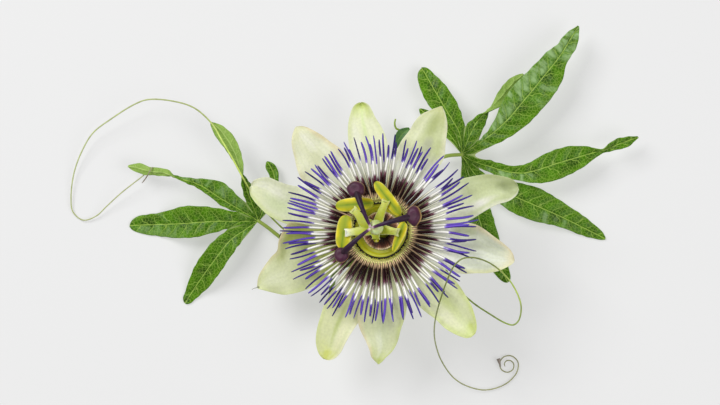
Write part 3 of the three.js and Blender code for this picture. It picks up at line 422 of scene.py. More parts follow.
def palmate_sheet(hub, sinuses, lobes):
    """The coarse middle sheet of a leaf, with (across, along) and (share, lobe) at each corner."""
    hub = np.array(hub, float)
    points = [hub]
    shared = []
    for sinus in sinuses:
        shared.append([])
        for t in (0.5, 1.0):
            points.append(hub + (np.array(sinus) - hub) * t)
            shared[-1].append(len(points) - 1)

    # Two neighbouring lobes share the first two rows of the margins that meet in their sinus.
    margins = [None, *shared, None]
    faces, surface, share = [], [], []
    for index, rows in enumerate(lobes):
        right, left = margins[index:index + 2]
        grid, coordinates, reach, before = [], [], 0.0, hub
        for k, row in enumerate(rows):
            middle = np.array(row[:3], float)
            reach += np.linalg.norm(middle - before)
            before = middle
            line = []
            for u in ACROSS:
                edge = right if u < 0 else left if u > 0 else None
                if k < 2 and edge is not None and abs(u) == 1:
                    line.append(edge[k])
                    continue
                if u == 0:
                    point = middle
                elif k < 2 and edge is not None:
                    point = (points[edge[k]] + middle) / 2
                else:
                    point = lobe_point(rows, k, hub, u, index)
                points.append(point)
                line.append(len(points) - 1)
            grid.append(line)
            offsets = [np.linalg.norm(points[i] - middle) for i in line]
            coordinates.append([(np.sign(u) * offset, reach) for u, offset in zip(ACROSS, offsets)])
        shares = [(u, index) for u in ACROSS]
        for j in range(len(ACROSS) - 1):
            faces.append((0, grid[0][j], grid[0][j + 1]))
            surface += [(0, 0), coordinates[0][j], coordinates[0][j + 1]]
            share += [(0, index), shares[j], shares[j + 1]]
            for k in range(len(grid) - 1):
                corners = [(k, j), (k + 1, j), (k + 1, j + 1), (k, j + 1)]
                faces.append(tuple(grid[row][column] for row, column in corners))
                surface += [coordinates[row][column] for row, column in corners]
                share += [shares[column] for row, column in corners]
    return np.array(points), faces, np.array(surface), np.array(share)


def refined(points, faces, surface, share, levels):
    """The sheet after Catmull-Clark subdivision: points, normals, faces and both corner layers."""
    mesh = bpy.data.meshes.new("refining")
    mesh.from_pydata(points.tolist(), [], faces)
    mesh.uv_layers.new(name="surface").uv.foreach_set("vector", surface.ravel())
    mesh.uv_layers.new(name="share").uv.foreach_set("vector", share.ravel())
    holder = bpy.data.objects.new("refining", mesh)
    bpy.context.scene.collection.objects.link(holder)
    holder.modifiers.new("refining", "SUBSURF").levels = levels
    fine = holder.evaluated_get(bpy.context.evaluated_depsgraph_get()).to_mesh()
    count, corner_count = len(fine.vertices), len(fine.loops)
    at, normals = np.empty(count * 3), np.empty(count * 3)
    fine.vertices.foreach_get("co", at)
    fine.vertices.foreach_get("normal", normals)
    layers = []
    for name in ("surface", "share"):
        values = np.empty(corner_count * 2)
        fine.uv_layers[name].uv.foreach_get("vector", values)
        layers.append(values.reshape(-1, 2))
    fine_faces = [tuple(face.vertices) for face in fine.polygons]
    holder.to_mesh_clear()
    bpy.data.objects.remove(holder)
    bpy.data.meshes.remove(mesh)
    return at.reshape(-1, 3), normals.reshape(-1, 3), fine_faces, layers[0], layers[1]


def closed_blade(points, normals, faces, above, below, surface, share):
    """A closed blade from a middle sheet: an upper and a lower face, and a rim round the margin."""
    count = len(points)
    upper = points + normals * above[:, None]
    lower = points - normals * below[:, None]
    edges, lower_faces, lower_order, start = {}, [], [], 0
    for face in faces:
        size = len(face)
        for i in range(size):
            after = (i + 1) % size
            edges[face[i], face[after]] = (start + i, start + after)
        lower_faces.append(tuple(i + count for i in reversed(face)))
        lower_order += range(start + size - 1, start - 1, -1)
        start += size
    rim_faces, rim_order = [], []
    for (a, b), (i, j) in edges.items():
        if (b, a) not in edges:
            rim_faces.append((b, a, a + count, b + count))
            rim_order += [j, i, i, j]
    corners = np.concatenate([np.arange(start), lower_order, rim_order]).astype(int)
    return {
        "points": np.vstack([upper, lower]),
        "faces": faces + lower_faces + rim_faces,
        "surface": surface[corners],
        "share": share[corners],
        "values": {"under": np.repeat((0.0, 1.0), count)},
    }


def vein_lines(across, along):
    """How near each place of a leaf lies to its midrib and to a side vein, from 0 to 1."""
    midrib = np.exp(-(across / 0.42) ** 2)
    slanted = along - VEIN_SLANT * np.abs(across) - VEIN_ARCH * across ** 2
    phase = slanted / VEIN_SPACING + np.where(across > 0, 0.5, 0.0)
    nearest = np.abs(phase - np.round(phase))
    return midrib, np.exp(-(nearest * VEIN_GAP / 0.4) ** 2), nearest * 2


def ramp(x, start, end):
    """A smooth step from 0 at start to 1 at end."""
    t = np.clip((x - start) / (end - start), 0, 1)
    return t * t * (3 - 2 * t)


def outward(points, normals, faces):
    """For each point on a sheet's rim the unit vector out of the sheet; zero for the others."""
    edges = {(face[i - 1], face[i]) for face in faces for i in range(len(face))}
    away = np.zeros_like(points)
    for a, b in edges:
        if (b, a) not in edges:
            push = np.cross(points[b] - points[a], normals[a])
            away[a] += push
            away[b] += push
    return away / np.maximum(np.linalg.norm(away, axis=1), 1e-9)[:, None]


def add_stalk(blade, tube, mark):
    """Joins a tube to the body of a blade; the mark, in place of a lobe's number, says what it is."""
    corners = np.concatenate(tube["faces"])
    shift = len(blade["points"])
    blade["points"] = np.vstack([blade["points"], tube["points"]])
    blade["faces"] = blade["faces"] + [tuple(i + shift for i in face) for face in tube["faces"]]
    blade["surface"] = np.vstack([blade["surface"], tube["surface"][corners]])
    blade["share"] = np.vstack([blade["share"], np.tile((0.0, mark), (len(corners), 1))])
    blade["values"]["under"] = np.append(blade["values"]["under"], np.zeros(len(tube["points"])))


def tapered_tube(path, steps, start, end, sides, flatten=1.0):
    """A tube on the curve through a path, whose radius goes evenly from start to end."""
    radii = np.linspace(start, end, steps + 1)
    return tube_body(curve_through(path, steps), radii, sides, flatten)


def leaf_body(hub, sinuses, lobes, petiole_path, gland_path=None):
    """A whole leaf: the blade with veins pressed in above and raised below, petiole and gland."""
    points, normals, faces, surface, share = refined(*palmate_sheet(hub, sinuses, lobes), levels=3)
    corners = np.concatenate(faces)
    tally = np.bincount(corners, minlength=len(points))

    def averaged(values):
        return np.bincount(corners, weights=values, minlength=len(points)) / tally

    midrib, side_vein, between = vein_lines(surface[:, 0], surface[:, 1])
    margin = averaged(np.clip(np.abs(share[:, 0]), 0, 1))
    reach = averaged(surface[:, 1]) + 1.7 * np.sign(averaged(surface[:, 0]))
    scallop = SCALLOP * np.sin(reach * 1.15 + 1.4 * np.sin(reach * 0.47))
    points = points + outward(points, normals, faces) * scallop[:, None]
    wave = np.sin(reach * 0.95 + 1.5 * np.sin(reach * 0.41))
    crisp = CRISP * margin ** 4 * wave * ramp(points[:, 2], 1, 4)
    points = points + normals * crisp[:, None]
    inside = 1 - margin ** 6
    puff = averaged(np.sin(between * math.pi / 2) ** 2) * 0.26 * inside
    midrib, side_vein = averaged(midrib), averaged(side_vein)
    edge = 0.45 + 0.55 * np.sqrt(inside)
    above = BLADE_THICK / 2 * edge + puff - (0.2 * midrib + 0.1 * side_vein) * inside
    below = BLADE_THICK / 2 * edge - puff * 0.7 + (0.3 * midrib + 0.1 * side_vein) * inside
    blade = closed_blade(points, normals, faces, above, below, surface, share)
    blade["points"][:, 2] = np.maximum(blade["points"][:, 2], LOWEST)
    petiole = tapered_tube(petiole_path, 44, PETIOLE_RADIUS + 0.05, PETIOLE_RADIUS - 0.12, sides=16)
    add_stalk(blade, petiole, STALK_MARK)
    if gland_path:
        add_stalk(blade, tapered_tube(gland_path, 10, 0.55, 0.36, sides=12), GLAND_MARK)
    return blade


def leaf_cuticle(name, painted_sheen_places):
    """Passion vine leaf: dark waxy green above with a pale net of veins and painted sheen, light matt green
    below.

    A painted sheen, paler patches that stand for light reflected by a tilted half lobe, is given as its
    lobe, its side, its strength and the millimetres where it starts and stops.
    """
    material, add = new_material(name)
    place = add("UVMap", uv_map="surface")
    across, along = add("SeparateXYZ", place, output=slice(2))
    share, lobe = add("SeparateXYZ", add("UVMap", uv_map="share"), output=slice(2))
    under = add("Attribute", output=2, attribute_name="under")
    distance = add("Math ABSOLUTE", across)
    margin = add("Math ABSOLUTE", share)
    bend = add("TexNoise", place, 0.22, 2.0)

    # Side veins leave the midrib at a slant and arch towards the tip, left and right in turn.
    slanted = add("Math MULTIPLY_ADD", distance, -VEIN_SLANT, along)
    square = add("Math MULTIPLY", distance, distance)
    arched = add("Math MULTIPLY_ADD", square, -VEIN_ARCH, slanted)
    left = add("Math GREATER_THAN", across, 0.0)
    stagger = add("Math MULTIPLY", left, 0.5)
    counted = add("Math MULTIPLY_ADD", arched, 1 / VEIN_SPACING, stagger)
    wander = add("Math MULTIPLY_ADD", bend, 1.1, -0.55)
    phase = add("Math ADD", counted, wander)
    nearest = add("Math PINGPONG", phase, 0.5)
    away = add("Math MULTIPLY", nearest, VEIN_GAP)
    side_vein = add("MapRange SMOOTHSTEP", away, 0.03, 0.2, 0.62, 0.0)
    fade = add("MapRange", margin, 0.6, 0.95, 1.0, 0.25)
    side_vein = add("Math MULTIPLY", side_vein, fade)
    midrib = add("MapRange SMOOTHSTEP", distance, 0.06, 0.25, 0.8, 0.0)

    # The fine net is drawn from cells of about 1.15 mm and of half that, larger than in life.
    warp = add("TexNoise", place, 0.8, 1.0, output=1)
    warped = add("VectorMath MULTIPLY_ADD", warp, (0.7, 0.7, 0.7), place)
    net = add("TexVoronoi", warped, 1 / NET_CELL, feature="DISTANCE_TO_EDGE", voronoi_dimensions="2D")
    net = add("MapRange SMOOTHSTEP", net, 0.01, 0.12, 0.4, 0.0)
    fine_net = add("TexVoronoi", warped, 2 / NET_CELL, feature="DISTANCE_TO_EDGE", voronoi_dimensions="2D")
    fine_net = add("MapRange", fine_net, 0.02, 0.18, 0.1, 0.0)
    veins = add("Math MAXIMUM", net, fine_net)
    for larger in (side_vein, midrib):
        veins = add("Math MAXIMUM", veins, larger)

    # Upper face: darkest beside the midrib, lighter and yellower in patches and to the margin.
    patches = add("TexNoise", place, 0.2, 4.0, 0.65)
    upper = add("ValToRGB", patches, stops=[(0.36, "204600"), (0.64, "457900")])
    cells = add("TexVoronoi", warped, 1 / NET_CELL, voronoi_dimensions="2D")
    cell_tone = add("MapRange", cells, 0.1, 0.7, 0.95, 1.04)
    upper = add("VectorMath SCALE", upper, cell_tone)
    lighter = add("MapRange SMOOTHSTEP", margin, 0.35, 1.05, 0.0, 0.35)
    upper = add("Mix RGBA", lighter, upper, "649600")
    upper = add("Mix RGBA", veins, upper, "a8c55a")
    # Painted sheen: on the listed halves of lobes, paler grey-green patches between the side veins stand for
    # light reflected by those tilted halves.
    stretched = add("VectorMath MULTIPLY", place, (0.14, 0.4, 1.0))
    sheen_patches = add("TexNoise", stretched, 1.0, 2.0)
    sheen_patches = add("MapRange", sheen_patches, 0.43, 0.62, 0.1, 1.0)
    sheen_between_veins = add("MapRange", nearest, 0.04, 0.26, 0.3, 1.0)
    sheen_patches = add("Math MULTIPLY", sheen_patches, sheen_between_veins)
    for lobe_index, side, strength, start, stop in painted_sheen_places:
        half = add("Math MULTIPLY", share, 1.6 * side)
        painted_sheen_amount = add("MapRange SMOOTHSTEP", half, 0.0, 0.5, 0.0, strength)
        on_lobe = add("Math COMPARE", lobe, lobe_index, 0.4)
        begun = add("MapRange", along, start, start + 4.0)
        ended = add("MapRange", along, stop, stop + 4.0, 1.0, 0.0)
        for limit in (sheen_patches, on_lobe, begun, ended):
            painted_sheen_amount = add("Math MULTIPLY", painted_sheen_amount, limit)
        upper = add("Mix RGBA", painted_sheen_amount, upper, "96b67a")
    lower = add("ValToRGB", patches, stops=[(0.3, "7a9c42"), (0.7, "90b052")])
    soft_veins = add("Math MULTIPLY", veins, 0.6)
    lower = add("Mix RGBA", soft_veins, lower, "c3da86")
    colour = add("Mix RGBA", under, upper, lower)

    # Where two lobes part the margin is painted paler, and the petiole is a lighter olive.
    sinus = add("MapRange", margin, 0.8, 0.97, 0.0, 0.8)
    parting = add("MapRange", along, 6.0, 10.0, 1.0, 0.0)
    sinus = add("Math MULTIPLY", sinus, parting)
    stalk = add("Math LESS_THAN", lobe, STALK_MARK + 1)
    gland = add("Math LESS_THAN", lobe, GLAND_MARK + 0.5)
    for here, tint in ((sinus, "bccb86"), (stalk, "98ac54"), (gland, "36381a")):
        colour = add("Mix RGBA", here, colour, tint)

    gloss = add("MapRange", under, 0, 1, 0.34, 0.6)
    grain = add("TexNoise", place, 4.0, 2.0)
    height = add("Math MULTIPLY_ADD", veins, -0.7, grain)
    relief = add("Bump", {"Strength": 0.7, "Distance": 0.06 * MM, "Height": height})
    add("OutputMaterial", add("BsdfPrincipled", {
        "Base Color": colour, "Roughness": gloss, "Normal": relief, "IOR": 1.4, "Specular IOR Level": 0.2}))
    return material


# Each leaf's list says where its painted sheen lies.
left_leaf_skin = leaf_cuticle("left_leaf_waxy_cuticle", [(3, 1, 0.35, 24, 46), (2, -1, 0.4, 6, 34)])
left_leaf_body = leaf_body(LEFT_HUB, LEFT_SINUSES, LEFT_LOBES, LEFT_PETIOLE, PETIOLE_GLAND)
left_leaf = new_piece("left_leaf_blade", left_leaf_body, left_leaf_skin)
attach(left_leaf, "root")
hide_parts("leaf_left")

right_leaf_skin = leaf_cuticle("right_leaf_waxy_cuticle", [
    (3, 1, 0.9, 6, 60), (3, 1, 0.5, 50, 70), (3, -1, 0.9, 50, 70), (3, -1, 0.5, 31, 42),
    (2, -1, 0.8, 10, 26), (1, -1, 0.7, 8, 24), (1, -1, 0.5, 34, 48)])
right_leaf_body = leaf_body(RIGHT_HUB, RIGHT_SINUSES, RIGHT_LOBES, RIGHT_PETIOLE)
right_leaf = new_piece("right_leaf_blade", right_leaf_body, right_leaf_skin)
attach(right_leaf, "root")
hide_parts("leaf_right")


# Tendrils
# Two wiry climbing shoots spring from the stem. The left one arches over its leaf and hooks
# round; the right one loops over the bloom's edge, comes down and ends in a flat spiral.
TENDRIL_RADIUS = 0.33
TENDRIL_TIP_RADIUS = 0.21
LEFT_TENDRIL = [
    (-6.6, -19.1, 1.6), (-9, -18.2, 2.4), (-15.3, -14.6, 4), (-24.8, -8.3, 6), (-31.3, -2, 7.3),
    (-36.2, 4.2, 8.9), (-38.4, 7.8, 10.2), (-40.3, 11.1, 11.6), (-44.2, 18.4, 12.8), (-47.8, 24.6, 13.6),
    (-51.5, 30.8, 13.6), (-58.1, 36.7, 12.6), (-66.3, 39.3, 11), (-75.3, 39.9, 9), (-80.1, 38.3, 8),
    (-89.1, 32.9, 6), (-95.9, 27.8, 4.5), (-100.1, 21.2, 3), (-103.2, 13.1, 1.8), (-104.4, 3.9, 1),
    (-103.7, -1.3, 0.7), (-100, -4.3, 0.7), (-95.1, -2.8, 1.2), (-91, 0.9, 2.2), (-85.6, 5.7, 3.8),
    (-77.3, 12.1, 5.6), (-75.6, 13.6, 5.8), (-74.2, 14.8, 6.3), (-73.8, 15.1, 7.3), (-74.3, 14.3, 8.4),
    (-75.2, 12.6, 8.6), (-76.3, 11, 7.4), (-77.7, 9.3, 6.4),
]
RIGHT_TENDRIL = [
    (16.3, -0.5, 1.3), (17.6, -1.8, 1.6), (20, -4.2, 2.4), (28.2, -11.6, 4), (37.3, -28.1, 6),
    (43.4, -34.2, 9), (49.8, -38.5, 13), (54.9, -41.4, 19), (57.6, -42, 22), (59.5, -40, 26),
    (59.9, -34.4, 31), (57.1, -27.8, 35.5), (53.7, -23.5, 38.3), (49.4, -19.9, 40), (45.8, -18.1, 41.2),
    (41.9, -17.2, 41.8), (38.4, -17.7, 41.8), (35.6, -20.2, 41.6), (33.1, -25.5, 40.8), (30.8, -32.4, 38.8),
    (29.4, -38.3, 34.5), (29, -43.7, 28), (30, -49.8, 18), (32.2, -55.7, 12), (36.9, -62.3, 6),
    (41.9, -65.5, 3), (48.6, -67.1, 1), (54.9, -65.6, 0.6), (58.6, -63, 0.5),
]
COIL_CENTRE = (57.1, -57.9, 0.6)
COIL_START = -32
COIL_SWEEP = 600
COIL_STEP = 50
COIL_RADIUS = 4.1
COIL_SHRINK = 2.9
COIL_RISE = 0.4
TENDRIL_RAMP_LENGTH = 330
FLAKE_PATH = [(54.35, -58.5, 0.95), (54.05, -57.4, 1.2), (53.75, -56.3, 1.4), (53.5, -55.5, 1.5)]
FLAKE_MARK = 400.0


def coil_points():
    """The flat spiral that ends the right tendril, drawn in turn by turn."""
    points = []
    x, y, z = COIL_CENTRE
    for angle in range(0, COIL_SWEEP + 1, COIL_STEP):
        radius = COIL_RADIUS - COIL_SHRINK * angle / COIL_SWEEP
        at = math.radians(COIL_START + angle)
        height = z + COIL_RISE * angle / COIL_SWEEP
        points.append((x + radius * math.cos(at), y + radius * math.sin(at), height))
    return points


def withered_flake():
    """A small dry flake on the coil, widest at its free end, marked past the end of the colours."""
    flake = tapered_tube(FLAKE_PATH, 10, 0.2, 0.75, sides=12, flatten=0.35)
    flake["surface"][:, 1] = FLAKE_MARK
    return flake


def tendril_body(points, steps):
    """A tendril as a fine tube that thins towards its tip, with a faint unevenness."""
    line = curve_through(points, steps)
    radii = np.linspace(TENDRIL_RADIUS, TENDRIL_TIP_RADIUS, steps + 1)
    radii = radii * (1 + 0.05 * np.sin(np.arange(steps + 1) * 0.9))
    radii[-3:] *= (0.9, 0.7, 0.35)
    return tube_body(line, radii, sides=10)


def tendril_skin(name, stops):
    """Wiry olive epidermis: its green changes along the shoot, as the given stops say."""
    material, add = new_material(name)
    place = add("UVMap", uv_map="surface")
    along = add("SeparateXYZ", place, output=1)
    reach = add("Math MULTIPLY", along, 1 / TENDRIL_RAMP_LENGTH)
    mottle = add("TexNoise", place, 0.35, 3.0)
    reach = add("Math MULTIPLY_ADD", mottle, 0.02, reach)
    colour = add("ValToRGB", reach, stops=stops)
    tone = add("MapRange", mottle, 0.3, 0.7, 0.82, 1.15)
    colour = add("VectorMath SCALE", colour, tone)
    add("OutputMaterial", add("BsdfPrincipled", {"Base Color": colour, "Roughness": 0.45}))
    return material


left_tendril_skin = tendril_skin("left_tendril_epidermis", [
    (0.0, "93a850"), (1.0, "8a7a6a"), (0.13, "9fb04f"), (0.165, "c8de62"), (0.21, "d2e87a"),
    (0.235, "a4b066"), (0.4, "b6c084"), (0.585, "aeb27c"), (0.605, "8a7a6a")])
left_tendril = new_piece("left_tendril_wire", tendril_body(LEFT_TENDRIL, steps=420), left_tendril_skin)
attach(left_tendril, "root")
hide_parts("tendril_left")

right_tendril_skin = tendril_skin("right_tendril_epidermis", [
    (0.0, "93a850"), (1.0, "90857a"), (0.24, "9aae52"), (0.265, "c8de62"), (0.285, "b4ca5c"),
    (0.308, "78843a"), (0.4, "6c7638"), (0.44, "98a268"), (0.62, "a0a070"), (0.95, "848050")])
right_tendril_body = joined([tendril_body(RIGHT_TENDRIL + coil_points(), steps=560), withered_flake()])
right_tendril = new_piece("right_tendril_wire", right_tendril_body, right_tendril_skin)
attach(right_tendril, "root")
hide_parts("tendril_right")


# Shoot tip
# The growing end of the stem: a young folded leaf, still small and dark, with a short curl of
# tendril beside it.
SHOOT_ROOT = (15.7, 21.4, 1.5)
SHOOT_ROWS = [
    (15.45, 22.2, 1.5, 0.6, 0.6), (16, 24.2, 1.7, 0.9, 0.9), (16.9, 25.9, 2, 1.8, 1.7),
    (17.9, 27.3, 2.2, 2.2, 2.1), (19.2, 28.5, 2.2, 1.5, 1.6), (20.7, 29.5, 2, 0.4, 0.4),
]
SHOOT_TENDRIL = [(18, 27.6, 2.2), (16.9, 28.9, 2.3), (15.7, 29.6, 2.6), (15.2, 31.4, 2.8), (15.5, 33, 2.4)]


def sheet_faces(rows, columns):
    """The faces of a sheet with so many rows and columns of them."""
    faces = []
    for k in range(rows):
        for j in range(columns):
            a = k * (columns + 1) + j
            faces.append((a, a + columns + 1, a + columns + 2, a + 1))
    return faces


def shoot_body():
    """The young leaf, folded along its midrib, and the curl."""
    points, surface, share, reach = [], [], [], 0.0
    for k, row in enumerate(SHOOT_ROWS):
        before = SHOOT_ROWS[max(0, k - 1)]
        reach += np.hypot(row[0] - before[0], row[1] - before[1])
        for u in ACROSS:
            point = lobe_point(SHOOT_ROWS, k, SHOOT_ROOT, u, 1)
            points.append(point + np.array([0, 0, 0.5 * abs(u)]))
            surface.append((u * row[3], reach))
            share.append((u, 0))
    faces = sheet_faces(len(SHOOT_ROWS) - 1, len(ACROSS) - 1)
    corners = np.concatenate(faces)
    surface, share = np.array(surface)[corners], np.array(share)[corners]
    points, normals, faces, surface, share = refined(np.array(points), faces, surface, share, levels=3)
    thick = np.full(len(points), 0.25)
    blade = closed_blade(points, normals, faces, thick, thick, surface, share)
    add_stalk(blade, tapered_tube(SHOOT_TENDRIL, 40, 0.42, 0.3, sides=10), STALK_MARK)
    return blade


shoot_skin, add = new_material("young_leaf_cuticle")
place = add("UVMap", uv_map="surface")
share, mark = add("SeparateXYZ", add("UVMap", uv_map="share"), output=slice(2))
mottle = add("TexNoise", place, 0.9, 3.0)
colour = add("ValToRGB", mottle, stops=[(0.3, "3a6a34"), (0.7, "5c8a3c")])
midline = add("Math ABSOLUTE", share)
midline = add("MapRange", midline, 0.04, 0.16, 0.5, 0.0)
colour = add("Mix RGBA", midline, colour, "86a858")
curl_here = add("Math LESS_THAN", mark, STALK_MARK + 1)
colour = add("Mix RGBA", curl_here, colour, "93ab3c")
add("OutputMaterial", add("BsdfPrincipled", {"Base Color": colour, "Roughness": 0.5}))
shoot = new_piece("young_shoot_leaf", shoot_body(), shoot_skin)
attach(shoot, "root")
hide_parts("shoot_tip")


# Bracts
# Three broad green scales close the cup from below, each a shallow bowl with its root at the
# stalk. They show only from the side and from below.
BLOOM_CENTRE = (9.9, -7.9, 26.0)
BLOOM_TILT = 14
BLOOM_TILT_TOWARDS = 162.6
BRACT_ANGLES = [85, 205, 325]
BRACT_STATIONS = [
    (1.6, -0.8, 0.8), (4.5, -3, 3), (8.5, -5, 5), (12, -5.2, 5.2), (15, -4, 4), (17.2, -2.2, 2.2),
    (18.6, -0.4, 0.4),
]


def turned_about(axis, degrees):
    """A 4 by 4 matrix that turns about an axis through the origin."""
    x, y, z = axis
    cross = np.array([(0, -z, y), (z, 0, -x), (-y, x, 0)])
    angle = math.radians(degrees)
    place = np.eye(4)
    place[:3, :3] += math.sin(angle) * cross + (1 - math.cos(angle)) * cross @ cross
    return place


lean = math.radians(BLOOM_TILT_TOWARDS)
bloom_place = turned_about((-math.sin(lean), math.cos(lean), 0), BLOOM_TILT)
bloom_place[:3, 3] = BLOOM_CENTRE


def tepal_body(stations, height, rows, columns, thickness, ribs):
    """A petal-like blade along +X: stations give its margins and height its rise in between."""
    line = curve_through(stations, rows)
    shares = np.sin(np.linspace(-1, 1, columns + 1) * math.pi / 2)
    along = np.repeat(line[:, 0], columns + 1)
    share = np.tile(shares, rows + 1)
    middle = np.repeat((line[:, 1] + line[:, 2]) / 2, columns + 1)
    half = np.repeat((line[:, 2] - line[:, 1]) / 2, columns + 1)
    across = middle + share * half
    points = np.column_stack([along, across, height(along, share)])
    grid = points.reshape(rows + 1, columns + 1, 3)
    normals = np.cross(np.gradient(grid, axis=0), np.gradient(grid, axis=1)).reshape(-1, 3)
    normals /= np.maximum(np.linalg.norm(normals, axis=1), 1e-9)[:, None]
    faces = sheet_faces(rows, columns)
    corners = np.concatenate(faces)
    reach = (along - along[0]) / (along[-1] - along[0])
    thin = np.sqrt(np.maximum(1 - np.abs(share) ** 5, 0.04)) * (1 - 0.6 * ramp(reach, 0.94, 1.0))
    half_thick = thickness / 2 * thin + ribs * np.cos(share * math.pi * 4) * thin * (1 - 0.5 * reach)
    surface = np.column_stack([across, along])[corners]
    placed = np.column_stack([share, reach])[corners]
    return closed_blade(points, normals, faces, half_thick, half_thick, surface, placed)


def bract_height(along, share):
    """A shallow bowl that follows the underside of the cup."""
    return -10.05 + 0.0095 * along ** 2 + 0.9 * share ** 2 * ramp(along, 3, 10)


bract_skin, add = new_material("bract_soft_cuticle")
place = add("UVMap", uv_map="surface")
streaky = add("VectorMath MULTIPLY", place, (1.4, 0.3, 1.0))
mottle = add("TexNoise", streaky, 1.0, 3.0)
colour = add("ValToRGB", mottle, stops=[(0.3, "7fa848"), (0.7, "a3c46c")])
relief = add("Bump", {"Strength": 0.4, "Distance": 0.2 * MM, "Height": mottle})
add("OutputMaterial", add("BsdfPrincipled", {"Base Color": colour, "Roughness": 0.5, "Normal": relief}))
for number, angle in enumerate(BRACT_ANGLES, 1):
    body = tepal_body(BRACT_STATIONS, bract_height, rows=30, columns=20, thickness=0.5, ribs=0.03)
    place = bloom_place @ turned_about((0, 0, 1), angle)
    bract = new_piece(f"bract_scale_{number}", body, bract_skin, place)
    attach(bract, "root")
    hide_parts(f"bract_{number}")


# Sepals
# Five outer tepals, thick and leathery, pale inside with a lime rim and a boat-shaped tip.
# Each has a faint groove down its middle where the green keel runs on its back.
TEPAL_ROOT = 11.8
SEPAL_LEVEL = -2.6

# A station is the distance out with its right and left margin. A spot is a tint, the share of the
# blade across and along at its middle, its half sizes in the same shares, and its strength.
# Each spot is a tint; some are painted shade and some painted highlights, as marked beside them.
SEPALS = [
    {
        "angle": 17.4, "tip": -4.4,
        "stations": [
            (TEPAL_ROOT, -3.5, 3.5), (19, -5.4, 6.4), (26, -6.2, 8.4), (32, -5.8, 9.2), (38, -4.5, 8.6),
            (43, -3.8, 7.5), (47, -3.9, 5.6), (49.5, -3.2, 4.1), (51, -2.3, 2.7), (51.8, -1.1, 1.1),
        ],
        # Painted light: the root tint is lifted near to white against the corona's shadow. The darker olive
        # tip tint is partly the tip's own colour and partly painted shade in the hollow of the hooded tip.
        "tints": ["fafce8", "c2cb9a", "a4af79"], "left": "b5bf89", "right": "d9dbc5",
        "tint_and_painted_light_spots": [
            # Painted shade inside the hooded tip.
            ("8e9968", (0.25, 0.9, 0.6, 0.14), 0.8),
            # A painted highlight.
            ("e1dfd6", (-0.5, 0.62, 0.3, 0.22), 0.9),
        ],
    },
    {
        "angle": 101.2, "tip": -5,
        "stations": [
            (TEPAL_ROOT, -3.5, 3.5), (19, -6, 5.6), (26, -7.2, 6.4), (32, -7.5, 6.6), (37, -6.6, 6.2),
            (41, -5.1, 5.1), (44, -4.3, 3.7), (46, -3.5, 2.5), (47.2, -2.1, 1.1), (47.6, -1, -0.3),
        ],
        "tints": ["eef0de", "e4e8c2", "cad878"], "left": "dce4ac", "right": "e0e6b4",
        "tint_and_painted_light_spots": [
            ("ccdc98", (0.0, 0.72, 0.2, 0.5), 0.7),
            # A painted highlight.
            ("f1f2e0", (0.55, 0.6, 0.3, 0.3), 0.7),
            ("b8c860", (0.0, 0.98, 0.3, 0.08), 0.8),
        ],
    },
    {
        "angle": 162.9, "tip": -2.6,
        "stations": [
            (TEPAL_ROOT, -3.4, 3.4), (19, -5.8, 6.4), (26, -6.8, 7.8), (33, -6.7, 7.9), (38, -6, 7.6),
            (42.6, -6.1, 6.6), (46.2, -6.4, 4.8), (48.9, -5.4, 3.2), (50.8, -4, 1.4), (51.7, -2.2, -1),
        ],
        "tints": ["e8e8d5", "d8ddbb", "dce1b7"], "left": "ceda92", "right": "dee1c2",
        "tint_and_painted_light_spots": [
            # Painted shade.
            ("c2cd9c", (0.25, 0.7, 0.6, 0.24), 0.8),
            # A painted highlight.
            ("edeedb", (-0.45, 0.82, 0.5, 0.22), 0.8),
        ],
    },
    {
        "angle": 245.4, "tip": -5,
        "stations": [
            (TEPAL_ROOT, -3.4, 3), (19, -6.4, 4.6), (26, -8, 5.6), (32, -8.7, 5.8), (38, -7.9, 5),
            (42.5, -6.9, 4.7), (46, -5.6, 4.6), (48.8, -3.8, 3.5), (50.2, -2.1, 2.1), (50.8, -0.4, 0.5),
        ],
        "tints": ["e0e4b4", "d0d4a4", "c8ce7b"], "left": "e0e0bb", "right": "c6ce8e",
        "tint_and_painted_light_spots": [
            ("adb96e", (0.05, 0.62, 0.2, 0.36), 0.85),
            # A painted highlight.
            ("e2e1bb", (0.5, 0.75, 0.3, 0.3), 0.7),
            ("bdc355", (0.0, 0.97, 0.5, 0.07), 0.8),
        ],
    },
    {
        "angle": 310.9, "tip": -4.6,
        "stations": [
            (TEPAL_ROOT, -3.4, 3.4), (19, -6.4, 6.4), (26, -7.6, 8.2), (32, -7.1, 8.5), (37, -5.9, 8),
            (41.5, -5.3, 7.3), (45, -4.1, 6), (47.8, -2.7, 4.5), (49.3, -1.7, 3.2), (50.1, -0.5, 2),
        ],
        "tints": ["e8ecc8", "d8deb0", "d0da94"], "left": "cedb82", "right": "d0da96",
        "tint_and_painted_light_spots": [
            ("c5d184", (0.05, 0.5, 0.4, 0.4), 0.7),
            # A painted highlight.
            ("eeeed0", (-0.5, 0.74, 0.4, 0.26), 0.6),
            ("c2cf66", (0.3, 0.95, 0.6, 0.1), 0.6),
        ],
    },
]


def sepal_height(spec):
    """The rise of one sepal: it droops outwards, and its margins and tip turn up like a boat."""
    def height(along, share):
        droop = SEPAL_LEVEL + (spec["tip"] - SEPAL_LEVEL) * np.clip((along - TEPAL_ROOT) / 40, 0, 2) ** 1.5
        boat = 2.4 * ramp(along, 32, 46) * (1 - 0.5 * ramp(along, 46, 50)) * np.abs(share) ** 2.2
        hood = 1.6 * ramp(along, 45, 52)
        middle = np.clip(1 - np.abs(share) * 2, 0, 1)
        groove = -0.35 * ramp(along, 14, 22) * (1 - ramp(along, 40, 46)) * middle
        swell = 0.16 * np.sin(along * 0.31 + spec["angle"]) * (1 - share ** 2)
        return droop + boat + hood + groove + swell
    return height


